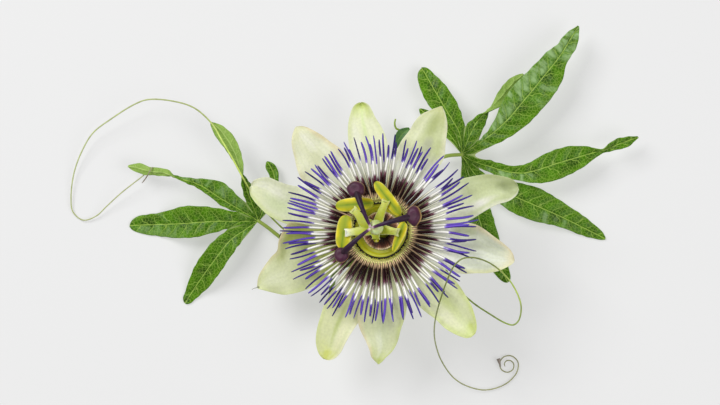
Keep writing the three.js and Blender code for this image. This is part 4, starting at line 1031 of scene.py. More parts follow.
def tepal_tissue(name, spec, vein_count, vein_strength):
    """Tepal: soft pale tissue that light enters, mottled, with faint long veins, tinted margins and tinted
    spots, some of them painted shade and painted highlights.
    """
    material, add = new_material(name)
    place = add("UVMap", uv_map="surface")
    share, reach = add("SeparateXYZ", add("UVMap", uv_map="share"), output=slice(2))
    cloud = add("TexNoise", place, 0.16, 3.0)
    drift = add("Math MULTIPLY_ADD", cloud, 0.3, -0.15)
    wandering = add("Math ADD", reach, drift)
    # The root tint is the tepal's own pale base; on some tepals it is lifted near to white as painted light
    # against the shadow that the corona casts over the root.
    root, blade, tip = spec["tints"]
    colour = add("ValToRGB", wandering, stops=[(0.3, root), (1.0, tip), (0.58, blade), (0.84, blade)])
    # Each spot lays a tint over the blade; some stand for painted shade and some for painted highlights.
    for tint, (centre_share, centre_reach, wide, long), strength in spec["tint_and_painted_light_spots"]:
        offset = add("CombineXYZ", share, wandering)
        offset = add("VectorMath SUBTRACT", offset, (centre_share, centre_reach, 0.0))
        offset = add("VectorMath DIVIDE", offset, (wide, long, 1.0))
        away = add("VectorMath LENGTH", offset)
        here = add("MapRange SMOOTHSTEP", away, 0.1, 1.1, strength, 0.0)
        colour = add("Mix RGBA", here, colour, tint)

    # The long veins run together towards the tip, so they are counted across the blade's share.
    fray = add("TexNoise", place, 0.3, 2.0)
    counted = add("Math MULTIPLY_ADD", share, vein_count, fray)
    away = add("Math PINGPONG", counted, 0.5)
    vein = add("MapRange SMOOTHSTEP", away, 0.0, 0.3, vein_strength, 0.0)
    colour = add("Mix RGBA", vein, colour, "b0bb80")
    left = add("Math GREATER_THAN", share, 0.0)
    margin_tint = add("Mix RGBA", left, spec["right"], spec["left"])
    margin = add("Math ABSOLUTE", share)
    margin = add("Math ADD", drift, margin)
    margin = add("MapRange SMOOTHSTEP", margin, 0.68, 1.0, 0.0, 0.75)
    outer = add("MapRange", reach, 0.2, 0.6)
    margin = add("Math MULTIPLY", margin, outer)
    colour = add("Mix RGBA", margin, colour, margin_tint)

    # Papillae of about 0.3 mm, drawn coarser than life so that they show, roughen the face.
    mottle = add("TexNoise", place, 1.1, 3.0)
    tone = add("MapRange", mottle, 0.3, 0.7, 0.94, 1.05)
    colour = add("VectorMath SCALE", colour, tone)
    papillae = add("TexVoronoi", place, 3.2, voronoi_dimensions="2D")
    height = add("Math MULTIPLY_ADD", vein, -1.5, papillae)
    relief = add("Bump", {"Strength": 0.25, "Distance": 0.1 * MM, "Height": height})
    add("OutputMaterial", add("BsdfPrincipled", {
        "Base Color": colour, "Roughness": 0.5, "Normal": relief, "Sheen Weight": 0.08,
        "Subsurface Weight": 0.18, "Subsurface Scale": 1.2 * MM, "Subsurface Radius": (1.0, 1.0, 0.6)}))
    return material


for number, spec in enumerate(SEPALS, 1):
    body = tepal_body(spec["stations"], sepal_height(spec), rows=84, columns=32, thickness=0.75, ribs=0.03)
    tissue = tepal_tissue(f"sepal_{number}_leathery_tissue", spec, vein_count=3.0, vein_strength=0.1)
    place = bloom_place @ turned_about((0, 0, 1), spec["angle"])
    sepal = new_piece(f"sepal_{number}_blade", body, tissue, place)
    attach(sepal, "root")
    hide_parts(f"sepal_{number}")


# Petals
# Five inner tepals lie on the sepals, thinner and softer, with waved cream to salmon margins.
# One has its upper margin folded up, and one its outer margin rolled in.
PETAL_LEVEL = -1.2
HAIR_MARK = -1.0
PETALS = [
    {
        "angle": 65.4, "tip": -3.6,
        "stations": [
            (TEPAL_ROOT, -3.6, 3.6), (19, -6.6, 6.2), (26, -8.6, 7.2), (32, -9.6, 7.3), (37, -8.3, 6.5),
            (41, -7, 5.8), (44.5, -5.3, 4.5), (47, -3.7, 2.5), (48.7, -2.2, 0.8), (49.7, -0.9, -0.3),
        ],
        # Painted light: the root tint is lifted near to white against the corona's shadow.
        "tints": ["f2f4e4", "bec691", "bec383"], "left": "dadcb9", "right": "deddbe",
        "tint_and_painted_light_spots": [
            ("a1ab67", (-0.1, 0.82, 0.5, 0.17), 0.85),
            # Painted shade in the hollow of the blade.
            ("a8ab8f", (-0.15, 0.58, 0.35, 0.14), 0.8),
            # A painted highlight.
            ("d9dcb7", (0.55, 0.72, 0.35, 0.3), 0.8),
        ],
    },
    {
        "angle": 130.5, "tip": -3.2,
        "stations": [
            (TEPAL_ROOT, -3.6, 3.6), (19, -6.4, 6.6), (26, -7.6, 8.8), (33, -7.5, 10.6), (38, -6.1, 9.5),
            (42, -5.2, 7.8), (45.5, -3.9, 5.9), (48, -2.7, 3.9), (49.7, -1.3, 1.9), (50.4, -0.2, 0.5),
        ],
        "tints": ["ecefd8", "d8daba", "d4d4a9"], "left": "ded9b0", "right": "d8c99d",
        "tint_and_painted_light_spots": [
            ("c8cc9d", (0.0, 0.6, 0.5, 0.3), 0.7),
            # A painted highlight.
            ("e3e3d1", (-0.2, 0.85, 0.4, 0.18), 0.7),
        ],
    },
    {
        "angle": 202.5, "tip": -3, "flap": True,
        "stations": [
            (TEPAL_ROOT, -3.8, 3.6), (19, -8.2, 6.2), (25, -13, 8), (30, -15.8, 8.8), (33.5, -14.2, 8.8),
            (36.3, -11.3, 8.6), (38.2, -8.6, 8.4), (42, -7.4, 7.5), (46, -5, 5), (49, -2.3, 2.8),
            (50.8, 0.7, 1.4),
        ],
        "tints": ["b0ba58", "c6cba0", "cfd5a4"], "left": "c8d197", "right": "cfc89c",
        "hair": [(50.1, 0.94, -2.7), (51.1, 0.9, -2.8), (52.1, 0.7, -3), (53.2, 0.8, -3.2)],
        "tint_and_painted_light_spots": [
            ("7c8468", (0.0, HAIR_MARK, 0.5, 0.3), 1.0),
            # Painted shade on the inner face of the folded-up margin.
            ("a2ac46", (-0.75, 0.46, 0.6, 0.34), 0.9),
            ("8b5944", (-1.0, 0.56, 0.14, 0.2), 0.9),
            # A painted highlight.
            ("d5d9b9", (0.1, 0.85, 0.5, 0.2), 0.7),
        ],
    },
    {
        "angle": 268.2, "tip": -3.4,
        "stations": [
            (TEPAL_ROOT, -3.6, 3.6), (19, -5.8, 8.2), (25, -7.2, 10.2), (31, -7.8, 9.5), (36, -6.8, 8.1),
            (40, -4.5, 6.8), (43.2, -2.9, 5.2), (45.4, -2.4, 3.1), (47, -1, 1.7), (47.9, 0, 0.5),
        ],
        "tints": ["e0e6ba", "cacfa6", "c0ca80"], "left": "c0ca86", "right": "d9cea8",
        "tint_and_painted_light_spots": [
            ("bec69d", (0.1, 0.65, 0.5, 0.36), 0.7),
            # A painted highlight.
            ("d7dbc1", (-0.1, 0.8, 0.35, 0.2), 0.7),
            ("b5c368", (0.1, 0.97, 0.5, 0.09), 0.7),
        ],
    },
    {
        "angle": 346.7, "tip": -3.2, "roll": True,
        "stations": [
            (TEPAL_ROOT, -3.6, 3.6), (19, -6.4, 6.6), (26, -8.2, 9), (32, -8.3, 10), (37, -7, 8.8),
            (41, -5.9, 7.1), (44.5, -4.4, 5.5), (47, -2.6, 4), (48.6, -1.1, 2.3), (49.3, 0, 0.8),
        ],
        # Painted light: the root tint is lifted near to white against the corona's shadow.
        "tints": ["fcfef0", "d5dac5", "ded8b7"], "left": "d2c198", "right": "e2e3ac",
        "tint_and_painted_light_spots": [
            ("b9bea8", (0.3, 0.7, 0.5, 0.26), 0.8),
            # Painted shadow under the rolled-in margin.
            ("a8b474", (0.75, 0.5, 0.35, 0.2), 0.6),
            # A painted highlight.
            ("e6eadc", (-0.2, 0.72, 0.4, 0.3), 0.7),
        ],
    },
]


def petal_height(spec):
    """The rise of one petal: it droops a little, its margins wave, and one is folded or rolled."""
    def height(along, share):
        droop = PETAL_LEVEL + (spec["tip"] - PETAL_LEVEL) * np.clip((along - TEPAL_ROOT) / 38, 0, 2) ** 1.4
        phase = math.radians(spec["angle"]) * 3
        wave = 0.75 * ramp(along, 24, 38) * share ** 2
        wave = wave * np.sin(along * 0.55 + phase + np.where(share > 0, 0, 1.7))
        flap = 2.2 * ramp(-share, 0.45, 1) * ramp(along, 20, 30) * (1 - ramp(along, 36, 40))
        roll = 2.4 * ramp(share, 0.4, 1) * ramp(along, 33, 40) * (1 - ramp(along, 43, 48))
        swell = 0.2 * np.sin(along * 0.27 + phase) * (1 - share ** 2)
        return droop + wave + swell + (flap if spec.get("flap") else 0) + (roll if spec.get("roll") else 0)
    return height


for number, spec in enumerate(PETALS, 1):
    body = tepal_body(spec["stations"], petal_height(spec), rows=84, columns=32, thickness=0.62, ribs=0.03)
    if "hair" in spec:
        add_stalk(body, tapered_tube(spec["hair"], 12, 0.17, 0.06, sides=6), HAIR_MARK)
    tissue = tepal_tissue(f"petal_{number}_soft_tissue", spec, vein_count=4.0, vein_strength=0.14)
    place = bloom_place @ turned_about((0, 0, 1), spec["angle"])
    petal = new_piece(f"petal_{number}_blade", body, tissue, place)
    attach(petal, "root")
    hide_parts(f"petal_{number}")


# Floral cup and disc
# The fleshy cup that holds the bloom together. Its upper face is a yellow-green disc that
# steps down to a groove round the column, where the nectar is.
CUP_PROFILE = [
    (0, -9.4), (1.5, -9.4), (2.6, -8.9), (6, -7.2), (9.2, -5.6), (10.9, -4.4), (11.5, -3.2),
    (11.5, -0.5), (10.9, -0.3), (10.6, -0.12), (8.8, 0), (8.3, -0.4), (6.9, -0.75),
    (6.3, -2), (5.2, -3.4), (0, -3.6),
]
DISC_RAMP_REACH = 12


def turned_body(profile, sides, steps):
    """A smooth body of revolution; its surface coordinates are (height, distance from the axis)."""
    line = curve_through([(radius, height, 0) for radius, height in profile], steps)
    radii = np.maximum(line[:, 0], 0)
    radii[0] = radii[-1] = 0
    angles = 2 * math.pi * np.arange(sides) / sides
    points, surface = [], []
    for radius, height in zip(radii[1:-1], line[1:-1, 1]):
        level = np.full(sides, height)
        points.append(np.column_stack([radius * np.cos(angles), radius * np.sin(angles), level]))
        surface.append(np.column_stack([level, np.full(sides, radius)]))
    points = np.vstack(points + [[[0, 0, line[0, 1]]], [[0, 0, line[-1, 1]]]])
    surface = np.vstack(surface + [[[line[0, 1], 0]], [[line[-1, 1], 0]]])
    faces, end = [], (len(line) - 2) * sides
    for k in range(sides):
        after = (k + 1) % sides
        faces.append((end, after, k))
        for ring in range(0, end - sides, sides):
            faces.append((ring + k, ring + after, ring + sides + after, ring + sides + k))
        faces.append((end - sides + k, end - sides + after, end + 1))
    return {"points": points, "faces": faces, "surface": surface}


cup_flesh, add = new_material("nectar_disc_flesh")
height, distance = add("SeparateXYZ", add("UVMap", uv_map="surface"), output=slice(2))
where = add("TexCoord", output=3)
blotch = add("TexNoise", where, 0.45 / MM, 4.0)
reach = add("Math MULTIPLY", distance, 1 / DISC_RAMP_REACH)
reach = add("Math MULTIPLY_ADD", blotch, 0.08, reach)
reach = add("Math SUBTRACT", reach, 0.04)
# Towards its outer edge the disc is paler: partly its own colour, partly painted light that offsets the
# shade falling between the limen and the corona's ring.
colour = add("ValToRGB", reach, stops=[
    (0.45, "8f9a4a"), (1.0, "f0e8b4"), (0.56, "e8d8ae"), (0.6, "bcbc2c"), (0.68, "a8a810"),
    (0.735, "c0c020"), (0.84, "d0d248"), (0.885, "ecec90")])
# Painted shade: the floor of the groove round the column, under the fringe and the ovary, is painted
# near-black.
groove = add("MapRange", height, -4.1, -3.9)
inside = add("MapRange", distance, 6.6, 6.8, 1.0, 0.0)
groove = add("Math MULTIPLY", groove, inside)
colour = add("Mix RGBA", groove, colour, "2e1c1a")
relief = add("Bump", {"Strength": 0.4, "Distance": 0.15 * MM, "Height": blotch})
add("OutputMaterial", add("BsdfPrincipled", {
    "Base Color": colour, "Roughness": 0.42, "IOR": 1.38, "Normal": relief,
    "Subsurface Weight": 0.12, "Subsurface Scale": 1.0 * MM}))
cup_body = turned_body(CUP_PROFILE, sides=96, steps=120)
cup = new_piece("floral_cup_and_disc", cup_body, cup_flesh, bloom_place)
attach(cup, "root")
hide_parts("floral_cup")


# Limen ring
# A low ridge on the disc whose crest is stained black. The stain is broken into short dashes,
# and the crest is a little uneven in width and height.
LIMEN_RADIUS = 9.92
LIMEN_HEIGHT = 0.64
LIMEN_HALF_WIDTH = 0.35


def ring_faces(rounds, sides):
    """The faces of a closed ring whose section has so many sides."""
    faces = []
    for i in range(rounds):
        here, ahead = i * sides, (i + 1) % rounds * sides
        for k in range(sides):
            after = (k + 1) % sides
            faces.append((here + k, ahead + k, ahead + after, here + after))
    return faces


def limen_body():
    """A closed ring with a lens-shaped section, wavered round its way."""
    rounds, sides = 480, 12
    points, surface = [], []
    chance = random.Random(7)
    bumps = [(chance.randint(12, 96), chance.uniform(0, 6.3)) for _ in range(10)]
    for i in range(rounds):
        angle = 2 * math.pi * i / rounds
        waver = sum(math.sin(count * angle + phase) for count, phase in bumps) / 5
        radius = LIMEN_RADIUS + 0.2 * waver
        for k in range(sides):
            turn = 2 * math.pi * k / sides
            out = radius + LIMEN_HALF_WIDTH * (1 + 0.45 * waver) * math.cos(turn)
            up = LIMEN_HEIGHT + 0.32 * math.sin(turn) + 0.08 * waver
            points.append((out * math.cos(angle), out * math.sin(angle), up))
            surface.append((math.sin(turn), 0))
    return {"points": points, "faces": ring_faces(rounds, sides), "surface": surface}


limen_stain, add = new_material("limen_black_stain")
where = add("TexCoord", output=3)
breaks = add("TexNoise", where, 0.52 / MM, 1.0)
stained = add("MapRange SMOOTHSTEP", breaks, 0.3, 0.34, 0.0, 1.0)
crest = add("SeparateXYZ", add("UVMap", uv_map="surface"))
crest = add("MapRange SMOOTHSTEP", crest, -0.4, 0.0, 0.0, 1.0)
stained = add("Math MULTIPLY", stained, crest)
colour = add("Mix RGBA", stained, "a8b030", "140c00")
add("OutputMaterial", add("BsdfPrincipled", {"Base Color": colour, "Roughness": 0.5, "IOR": 1.36}))
limen = new_piece("limen_crest", limen_body(), limen_stain, bloom_place)
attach(limen, "root")
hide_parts("limen_ring")


# Inner fringe
# A skirt of short filaments closes the nectar groove. They are dark maroon, with pale beads
# where they spring from the step of the disc.
FRINGE_FILAMENTS = 52
FRINGE_OUTER = 6.85
FRINGE_INNER = (3.5, 4.2)
FRINGE_STEPS = 12


def fringe_body():
    """Short tapering filaments that lean in over the groove, each swelling into a bead near its root."""
    chance = random.Random(19)
    shares = np.linspace(0, 1, FRINGE_STEPS + 1)
    radii = np.interp(shares, [0, 0.08, 0.3, 1], [0.32, 0.46, 0.34, 0.2])
    bodies = []
    for i in range(FRINGE_FILAMENTS):
        angle = 2 * math.pi * i / FRINGE_FILAMENTS
        inner = FRINGE_INNER[i % 2]
        drift = chance.uniform(-0.03, 0.03)
        line = []
        for t in shares:
            radius = FRINGE_OUTER + (inner - FRINGE_OUTER) * t
            turn = angle + drift * t
            rise = -0.1 + 0.42 * math.sin(t * math.pi * 0.7) + chance.uniform(-0.01, 0.01)
            line.append((radius * math.cos(turn), radius * math.sin(turn), rise))
        body = tube_body(line, radii, sides=8, flatten=0.7)
        body["surface"][:, 1] = np.hypot(body["points"][:, 0], body["points"][:, 1])
        bodies.append(body)
    return joined(bodies)


fringe_tissue, add = new_material("fringe_maroon_tissue")
distance = add("SeparateXYZ", add("UVMap", uv_map="surface"), output=1)
reach = add("MapRange", distance, 3.8, 7.2)
colour = add("ValToRGB", reach, stops=[
    (0.0, "341810"), (1.0, "f4e4c8"), (0.35, "4c261a"), (0.6, "744432"), (0.76, "b08868"), (0.86, "f0e0b8")])
strand = add("Attribute", output=2, attribute_name="strand")
chance = add("TexWhiteNoise", strand, noise_dimensions="1D")
tone = add("MapRange", chance, 0, 1, 0.2, 2.3)
colour = add("VectorMath SCALE", colour, tone)
pale = add("MapRange", chance, 0.68, 0.72, 0.0, 0.55)
pale = add("Math MULTIPLY", pale, reach)
colour = add("Mix RGBA", pale, colour, "d8b08c")
add("OutputMaterial", add("BsdfPrincipled", {"Base Color": colour, "Roughness": 0.5, "IOR": 1.36}))
fringe = new_piece("inner_fringe_filaments", fringe_body(), fringe_tissue, bloom_place)
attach(fringe, "root")
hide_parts("corona_fringe")


# Corona
# Two rows of fleshy filaments spread flat from a ring at the disc's edge: maroon at the root,
# then white, then violet to the tip. They are flattened, and twist a little on their way.
CORONA_RING = [(11.2, -0.15), (12.6, -0.1), (12.7, 0.6), (12.2, 1.1), (11.5, 1.1), (11.2, 0.8)]
CORONA_STRETCH = 1.1
FILAMENTS_PER_ROW = 58
FILAMENT_START = 11.8
FILAMENT_STEPS = 26
FILAMENT_ROWS = [
    {
        "turn": 0.0, "reach": 34.8, "spread": 1.1, "root": 0.75, "rise": 2.3,
        "radii": [0.46, 0.48, 0.46, 0.36, 0.33, 0.27, 0.16],
    },
    {
        "turn": 0.5, "reach": 32.8, "spread": 1.5, "root": 1.25, "rise": 3.8,
        "radii": [0.34, 0.44, 0.5, 0.47, 0.44, 0.36, 0.2],
    },
]
RADIUS_SHARES = [0, 0.1, 0.3, 0.6, 0.88, 0.975, 1]


def random_from(seed):
    """A small repeatable source of numbers between 0 and 1."""
    state = seed
    while True:
        state = (state * 1664525 + 1013904223) % 4294967296
        yield state / 4294967296


def filament_body(number, start, row, draw, chance):
    """A filament of a row; its coordinates are (row and nearness to an edge, distance out)."""
    stretch = CORONA_STRETCH * math.cos(2 * start)
    reach = row["reach"] + stretch + row["spread"] * (2 * next(draw) - 1)
    drift = math.radians(2) * (2 * next(draw) - 1)
    bow = math.radians(1.2) * (2 * next(draw) - 1)
    rise = row["rise"] + 0.5 * (2 * next(draw) - 1)
    wiggle, phase = chance.uniform(0.15, 0.5), chance.uniform(0, 6.3)
    twist, spin = chance.uniform(-0.8, 0.8), chance.uniform(-0.3, 0.3)
    girth = chance.uniform(0.88, 1.12)
    shares = np.linspace(0, 1, FILAMENT_STEPS + 1)
    line = []
    for t in shares:
        radius = FILAMENT_START + (reach - FILAMENT_START) * t
        sway = wiggle * t * math.sin(phase + 7 * t) / radius
        angle = start + drift * t + bow * math.sin(math.pi * t) + sway
        height = row["root"] + rise * t ** 1.5 + wiggle * 0.6 * t * math.cos(phase + 6 * t)
        line.append((radius * math.cos(angle), radius * math.sin(angle), height))
    radii = girth * np.interp(shares, RADIUS_SHARES, row["radii"])
    body = tube_body(line, radii, sides=8, flatten=0.7, turn=spin + twist * shares)
    distance = np.hypot(body["points"][:, 0], body["points"][:, 1])
    body["surface"] = np.column_stack([number + 0.4 * np.abs(np.cos(body["angles"])), distance])
    return body


def corona_ring():
    """The beaded ring that both rows spring from; its coordinates follow on from theirs."""
    rounds = 8 * FILAMENTS_PER_ROW
    points, surface = [], []
    for i in range(rounds):
        angle = 2 * math.pi * i / rounds
        bead = 0.5 + 0.5 * math.cos(2 * FILAMENTS_PER_ROW * angle)
        for radius, height in CORONA_RING:
            out = radius + 0.12 * bead * (1 if radius > 12 else -1)
            points.append((out * math.cos(angle), out * math.sin(angle), height + 0.15 * bead))
            surface.append((len(FILAMENT_ROWS) + 0.4 * (i % 4 == 2), out))
    return {"points": points, "faces": ring_faces(rounds, len(CORONA_RING)), "surface": surface}


def corona_body():
    """Both rows of filaments and the root ring."""
    draw, chance = random_from(41), random.Random(3)
    bodies = []
    for number, row in enumerate(FILAMENT_ROWS):
        for i in range(FILAMENTS_PER_ROW):
            start = 2 * math.pi * (i + row["turn"]) / FILAMENTS_PER_ROW
            bodies.append(filament_body(number, start, row, draw, chance))
    return joined(bodies + [corona_ring()])


corona_tissue, add = new_material("corona_banded_filaments")
row_and_edge, reach = add("SeparateXYZ", add("UVMap", uv_map="surface"), output=slice(2))
row = add("Math FLOOR", row_and_edge)
edge = add("Math FRACT", row_and_edge)
strand = add("Attribute", output=2, attribute_name="strand")
chance = add("TexWhiteNoise", strand, noise_dimensions="1D")
shifted = add("Math MULTIPLY_ADD", chance, 3.0, reach)
where = add("TexCoord", output=3)
fray = add("TexNoise", where, 0.9 / MM, 2.0)
shifted = add("Math MULTIPLY_ADD", fray, 1.4, shifted)
band = add("MapRange", shifted, 12.0, 40.0)
upper_row = add("ValToRGB", band, stops=[
    (0.0, "54241a"), (1.0, "46387e"), (0.16, "1c0400"), (0.3, "2e0612"), (0.36, "6c3c4c"), (0.405, "f0eee6"),
    (0.55, "fdfcf6"), (0.57, "8c7cca"), (0.595, "5f44ac"), (0.85, "5846a8")])
lower_row = add("ValToRGB", band, stops=[
    (0.0, "e0c0a0"), (1.0, "3a3068"), (0.12, "bc9c7c"), (0.2, "968064"), (0.28, "bcb68c"), (0.37, "ecebd4"),
    (0.52, "fdfcf2"), (0.55, "7c6cc0"), (0.58, "4a309e"), (0.85, "463490")])
stray = add("Math GREATER_THAN", chance, 0.78)
dark_based = add("Math MAXIMUM", row, stray)
colour = add("Mix RGBA", dark_based, lower_row, upper_row)
violet = add("MapRange", shifted, 27.4, 28.8)
swing = add("MapRange", chance, 0, 1, -0.6, 0.5)
tone = add("Math MULTIPLY_ADD", violet, swing, 1.0)
colour = add("VectorMath SCALE", colour, tone)
root = add("Math MULTIPLY_ADD", fray, 0.8, reach)
root = add("Math MULTIPLY_ADD", dark_based, 0.4, root)
root = add("MapRange", root, 13.4, 14.7, 1.0, 0.0)
colour = add("Mix RGBA", root, colour, "e6c498")
on_ring = add("Math GREATER_THAN", row, 1.5)
colour = add("Mix RGBA", on_ring, colour, "ece496")
# Painted shade and highlight: each filament is darkened along its sides, almost to black near the root, and
# its core is lifted a little, as light models a rounded rod.
rim = add("MapRange", reach, 14.5, 21.0, 0.12, 0.6)
shaded = add("MapRange", edge, 0.12, 0.3, 1.08, rim)
colour = add("VectorMath SCALE", colour, shaded)
relief = add("Bump", {"Strength": 0.15, "Distance": 0.1 * MM, "Height": fray})
add("OutputMaterial", add("BsdfPrincipled", {
    "Base Color": colour, "Roughness": 0.5, "Normal": relief, "IOR": 1.36, "Specular IOR Level": 0.22}))
corona = new_piece("corona_filaments", corona_body(), corona_tissue, bloom_place)
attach(corona, "root")
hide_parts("corona")


# Column and stamen filaments
# A pale green column stands in the middle of the bloom, and near its top five flat straps
# spread outwards, each ending in a whitish notch that holds an anther.
COLUMN_PROFILE = [
    (0, -3.3), (2.4, -3.3), (2.3, -2.4), (1.6, -1), (1.45, 3), (1.5, 6.5), (2, 8.2), (2.3, 9), (1.9, 9.4),
    (0, 9.4),
]

# A stamen filament is its half width at the root, how pale its end is, and its path.
STAMENS = [
    (1.75, 0.6, [(0.3, 0.9, 8.3), (1.9, 5, 9.2), (3.4, 8.6, 9.5), (4, 10.3, 9.45)]),
    (2.3, 0.65, [(-0.8, 0.6, 8.3), (-4.3, 2.4, 9.1), (-6.4, 5.4, 9.5), (-8.4, 7.2, 9.45)]),
    (1.9, 1.0, [(-1, -0.1, 8.3), (-5.2, -0.6, 9.2), (-9.2, -1.1, 9.5), (-11, -1.3, 9.45)]),
    (1.75, 0.7, [(1, -0.1, 8.3), (4, -0.4, 9.2), (6.8, -0.9, 9.6), (8.8, -1.3, 9.5)]),
    (1.75, 0.3, [(0, -0.9, 8.3), (0.1, -1.9, 8.8), (0.2, -2.8, 8.7), (0.1, -3.5, 8.2)]),
]
STRAP_SHARES = [0, 0.3, 0.5, 0.8, 0.9, 0.97, 1]
STRAP_HALF_WIDTHS = [1.5, 1.25, 1.45, 1.5, 1.3]


def column_body():
    """The column and its five straps; coordinates are (nearness to an edge, paleness)."""
    trunk = turned_body(COLUMN_PROFILE, sides=32, steps=60)
    trunk["surface"] = np.zeros((len(trunk["points"]), 2))
    bodies = [trunk]
    steps, sides = 28, 20
    share = np.linspace(0, 1, steps + 1)
    ring = np.repeat(share, sides)
    for root, pale, path in STAMENS:
        radii = np.interp(share, STRAP_SHARES, [root, root, *STRAP_HALF_WIDTHS])
        strap = tube_body(curve_through(path, steps), radii, sides, flatten=0.3)
        sideways = np.abs(np.cos(strap["angles"]))
        tip = np.subtract(path[-1], path[-2])
        tip /= np.linalg.norm(tip)
        notch = (ring > 0.93) * (sideways ** 2 - 0.7) * 0.8
        strap["points"] = strap["points"] + notch[:, None] * tip
        strap["surface"] = np.column_stack([sideways, ring ** 1.5 * pale])
        bodies.append(strap)
    return joined(bodies)


column_tissue, add = new_material("column_pale_flesh")
sideways, paleness = add("SeparateXYZ", add("UVMap", uv_map="surface"), output=slice(2))
where = add("TexCoord", output=3)
mottle = add("TexNoise", where, 0.6 / MM, 3.0)
reach = add("Math MULTIPLY_ADD", mottle, 0.3, paleness)
reach = add("Math SUBTRACT", reach, 0.15)
colour = add("ValToRGB", reach, stops=[
    (0.0, "acb628"), (1.0, "f8f8ea"), (0.25, "b8c038"), (0.5, "c4cc54"), (0.75, "e0e4a8")])
edge = add("MapRange SMOOTHSTEP", sideways, 0.8, 1.0, 0.0, 0.6)
colour = add("Mix RGBA", edge, colour, "e6e8b4")
freckle = add("TexVoronoi", where, 0.9 / MM)
freckle = add("MapRange", freckle, 0.14, 0.22, 0.4, 0.0)
colour = add("Mix RGBA", freckle, colour, "a0745c")
relief = add("Bump", {"Strength": 0.35, "Distance": 0.1 * MM, "Height": mottle})
add("OutputMaterial", add("BsdfPrincipled", {
    "Base Color": colour, "Roughness": 0.42, "Normal": relief,
    "Subsurface Weight": 0.12, "Subsurface Scale": 1.0 * MM}))
column = new_piece("column_and_straps", column_body(), column_tissue, bloom_place)
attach(column, "root")
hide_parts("column")


# Ovary
# The smooth egg-shaped ovary sits on the column above the straps, pale green with a whitish
# bloom of wax, and carries the styles.
OVARY_PROFILE = [
    (0, 9.75), (1.5, 9.8), (2.35, 10.8), (2.7, 12.2), (2.5, 13.4), (1.9, 14.4), (0.9, 14.9), (0, 15),
]
OVARY_LEAN = (1.0, 0.4, 0.0)

ovary_skin, add = new_material("ovary_waxy_skin")
where = add("TexCoord", output=3)
mottle = add("TexNoise", where, 0.38 / MM, 3.0)
colour = add("ValToRGB", mottle, stops=[(0.35, "bccd74"), (0.65, "d8e4a6")])
relief = add("Bump", {"Strength": 0.2, "Distance": 0.1 * MM, "Height": mottle})
add("OutputMaterial", add("BsdfPrincipled", {
    "Base Color": colour, "Roughness": 0.34, "Normal": relief,
    "Subsurface Weight": 0.15, "Subsurface Scale": 1.0 * MM}))
ovary_body = turned_body(OVARY_PROFILE, sides=40, steps=40)
ovary_body["points"] = ovary_body["points"] + np.array(OVARY_LEAN)
ovary = new_piece("ovary_egg", ovary_body, ovary_skin, bloom_place)
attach(ovary, "root")
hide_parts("ovary")


# Anthers
# Five long anthers hang by their middles from the straps. Each is two pale-edged halves with
# a green furrow between, and the pollen colours its rims yellow.

# An anther is its two ends, half its width, half its thickness and how much its first end tapers.
ANTHERS = [
    ((-0.4, 16.9, 7.9), (8.9, 5, 7.9), 2.1, 0.95, 0.0),
    ((-14.9, 8.4, 7.8), (-0.9, 9.4, 7.8), 2.4, 0.95, 0.0),
    ((-12.5, -6.9, 7.8), (-10.9, 5.1, 7.8), 2.8, 0.95, 0.0),
    ((6.4, -8, 7.8), (10.4, 2.4, 7.8), 2.2, 0.95, 0.5),
    ((0.1, -3.6, 7.6), (-1.2, -3.3, 1.7), 1, 1, 0.0),
]


def anther_body(first, last, half, thick, taper):
    """A rounded bar with a furrow along its upper face; coordinates are (side, share along)."""
    steps, sides = 40, 28
    share = np.linspace(0, 1, steps + 1)
    line = np.array(first) + share[:, None] * np.subtract(last, first)
    radii = half * np.maximum(1 - np.abs(2 * share - 1) ** 4.5, 0.02) ** 0.5
    radii = radii * (1 - 0.05 * np.cos(2 * math.pi * share)) * (1 - taper * (1 - share))

    def furrow(angles):
        return 1 - 0.2 * np.exp(-((angles - math.pi / 2) / 0.32) ** 2)

    body = tube_body(line, radii, sides, flatten=thick / half, lumps=furrow)
    body["surface"] = np.column_stack([np.cos(body["angles"]), np.repeat(share, sides)])
    return body


anther_tissue, add = new_material("anther_powdery_tissue")
side = add("SeparateXYZ", add("UVMap", uv_map="surface"))
edge = add("Math ABSOLUTE", side)
where = add("TexCoord", output=3)
mottle = add("TexNoise", where, 0.5 / MM, 3.0)
edge = add("Math MULTIPLY_ADD", mottle, 0.25, edge)
edge = add("Math SUBTRACT", edge, 0.12)
colour = add("ValToRGB", edge, stops=[
    (0.0, "6c8a08"), (1.0, "f8f0a0"), (0.16, "8e9e10"), (0.42, "b0b010"),
    (0.66, "d8c80c"), (0.88, "f4e040")])
greener = add("TexNoise", where, 0.17 / MM, 2.0)
greener = add("MapRange", greener, 0.45, 0.6, 0.0, 0.7)
colour = add("Mix RGBA", greener, colour, "9aa81c")
pollen = add("TexVoronoi", where, 3.5 / MM)
height = add("Math MULTIPLY_ADD", pollen, 0.4, mottle)
relief = add("Bump", {"Strength": 0.35, "Distance": 0.1 * MM, "Height": height})
add("OutputMaterial", add("BsdfPrincipled", {
    "Base Color": colour, "Roughness": 0.6, "IOR": 1.4, "Normal": relief}))
for number, form in enumerate(ANTHERS, 1):
    anther = new_piece(f"anther_bar_{number}", anther_body(*form), anther_tissue, bloom_place)
    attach(anther, "root")
    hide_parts(f"anther_{number}")


# Styles and stigmas
# Three stout purple styles part from one pale point on the ovary, and each swells into a
# velvety brown-purple stigma with a paler rim.

# A style is the middle of its stigma, and the stigma's half sizes.
STYLES = [
    ((-6.1, 13.9, 13.5), (3.3, 2.9, 2.4)),
    ((15, 4.3, 13.5), (2.7, 3.6, 2.4)),
    ((-11.2, -9.4, 13.5), (2.6, 2.8, 2.3)),
]
POLE_SHARE = 0.99
STYLE_ARCH = [(0.35, 15.6), (1.3, 15.9), (4, 16.6), (8, 16.5), (11.5, 15.5)]


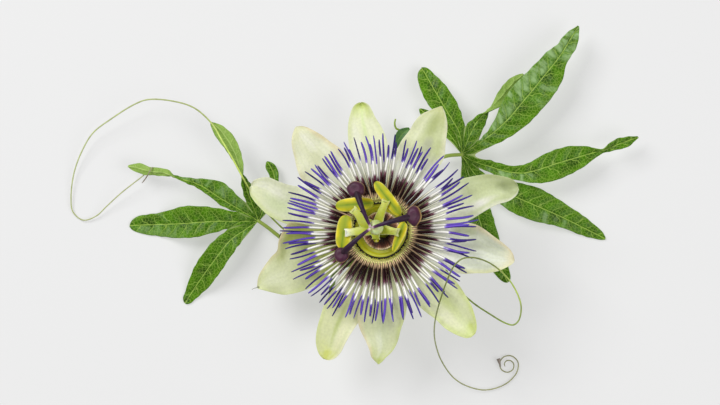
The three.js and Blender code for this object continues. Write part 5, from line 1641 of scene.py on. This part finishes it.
def style_body(at, half_sizes):
    """An arm that thickens outwards, and its stigma: a cushion with a shallow dent on top."""
    reach = math.hypot(at[0], at[1])
    direction = np.array(at[:2]) / reach
    arch = STYLE_ARCH + [(reach - 1, 14)]
    steps, sides = 40, 18
    line = curve_through([(r * direction[0], r * direction[1], h) for r, h in arch], steps)
    share = np.linspace(0, 1, steps + 1)
    arm = tube_body(line, np.interp(share, [0, 0.1, 0.6, 1], [0.42, 0.55, 0.92, 1.35]), sides)
    arm["surface"] = np.column_stack([np.zeros(len(arm["points"])), np.repeat(share, sides)])
    rings, sides = 22, 36
    points, surface = [], []
    chance = random.Random(int(reach * 10))
    lobes = [(chance.randint(2, 5), chance.uniform(0, 6.3), chance.uniform(0.01, 0.035)) for _ in range(3)]
    for i in range(rings + 1):
        rise = POLE_SHARE * (math.pi * i / rings - math.pi / 2)
        for k in range(sides):
            turn = 2 * math.pi * k / sides
            swell = 1 + sum(size * math.sin(n * turn + phase) for n, phase, size in lobes)
            flat = math.cos(rise) ** 0.8 * swell
            dent = -0.22 * math.exp(-((math.pi / 2 - rise) / 0.5) ** 2)
            offset = np.array([flat * math.cos(turn), flat * math.sin(turn), math.sin(rise) + dent])
            points.append(at + offset * half_sizes)
            outer = offset[:2].dot(direction)
            surface.append((1.0, math.sin(rise) + 0.3 * (1 - outer)))
    knob = {"points": points, "faces": tube_faces(rings + 1, sides), "surface": surface}
    return joined([arm, knob])


style_velvet, add = new_material("style_velvety_purple")
on_knob, share = add("SeparateXYZ", add("UVMap", uv_map="surface"), output=slice(2))
where = add("TexCoord", output=3)
mottle = add("TexNoise", where, 0.42 / MM, 4.0)
arm = add("ValToRGB", share, stops=[
    (0.0, "f6e8ea"), (1.0, "2c1020"), (0.04, "d8b4c4"), (0.09, "562850"), (0.2, "34143c"), (0.5, "260e2e")])
rim = add("Math MULTIPLY_ADD", mottle, 0.3, share)
knob = add("ValToRGB", rim, stops=[
    (0.0, "3a2028"), (1.0, "461c34"), (0.2, "b89a4c"), (0.5, "a8803c"), (0.62, "643434"), (0.8, "44202c")])
colour = add("Mix RGBA", on_knob, arm, knob)
tone = add("MapRange", mottle, 0.3, 0.7, 0.75, 1.3)
colour = add("VectorMath SCALE", colour, tone)
velvet = add("TexVoronoi", where, 2.6 / MM)
relief = add("Bump", {"Strength": 0.4, "Distance": 0.1 * MM, "Height": velvet})
add("OutputMaterial", add("BsdfPrincipled", {
    "Base Color": colour, "Roughness": 0.45, "Normal": relief, "IOR": 1.36, "Sheen Weight": 0.02}))
for number, form in enumerate(STYLES, 1):
    style = new_piece(f"style_and_stigma_{number}", style_body(*form), style_velvet, bloom_place)
    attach(style, "root")
    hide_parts(f"style_{number}")


# Floor
# A wide, plain, pale matt sheet that the sprig lies on. It glows a little from within, as a
# lit table does, so that shadows stay faint.
FLOOR_REACH = 2
FLOOR_LEVEL = -0.0002
FLOOR_GLOW = 0.45

floor_paper, add = new_material("pale_matt_paper")
diffuse = add("BsdfDiffuse", "a4a4a4")
glow = add("Emission", "ffffff", FLOOR_GLOW)
add("OutputMaterial", add("AddShader", diffuse, glow))
floor_corners = []
for x, y in ((-1, -1), (1, -1), (1, 1), (-1, 1)):
    floor_corners.append((x * FLOOR_REACH, y * FLOOR_REACH, FLOOR_LEVEL))
floor_mesh = bpy.data.meshes.new("floor")
floor_mesh.from_pydata(floor_corners, [], [(0, 1, 2, 3)])
floor_mesh.materials.append(floor_paper)
floor = bpy.data.objects.new("floor", floor_mesh)
bpy.context.scene.collection.objects.link(floor)


# Studio light
# A soft panel from the upper left models the forms, a broader and weaker one from the right
# fills in, and an even pale surround lightens the shadows.
PANELS = [
    {"name": "left_panel", "place": (-0.85, 0.75, 1.15), "size": 0.8, "power": 20.5},
    {"name": "right_panel", "place": (1.0, -0.35, 1.2), "size": 1.1, "power": 12.0},
]
SURROUND_STRENGTH = 0.24

for panel in PANELS:
    light = bpy.data.lights.new(panel["name"], "AREA")
    light.size = panel["size"]
    light.energy = panel["power"]
    lamp = bpy.data.objects.new(panel["name"], light)
    lamp.location = panel["place"]
    x, y, z = panel["place"]
    lamp.rotation_euler = (math.acos(z / np.linalg.norm((x, y, z))), 0, math.atan2(-y, -x) - math.pi / 2)
    bpy.context.scene.collection.objects.link(lamp)
world = bpy.data.worlds.new("studio")
world.use_nodes = True
surround = world.node_tree.nodes["Background"].inputs
surround["Color"].default_value = linear("ffffff")
surround["Strength"].default_value = SURROUND_STRENGTH
bpy.context.scene.world = world
bpy.context.scene.view_settings.view_transform = "Standard"
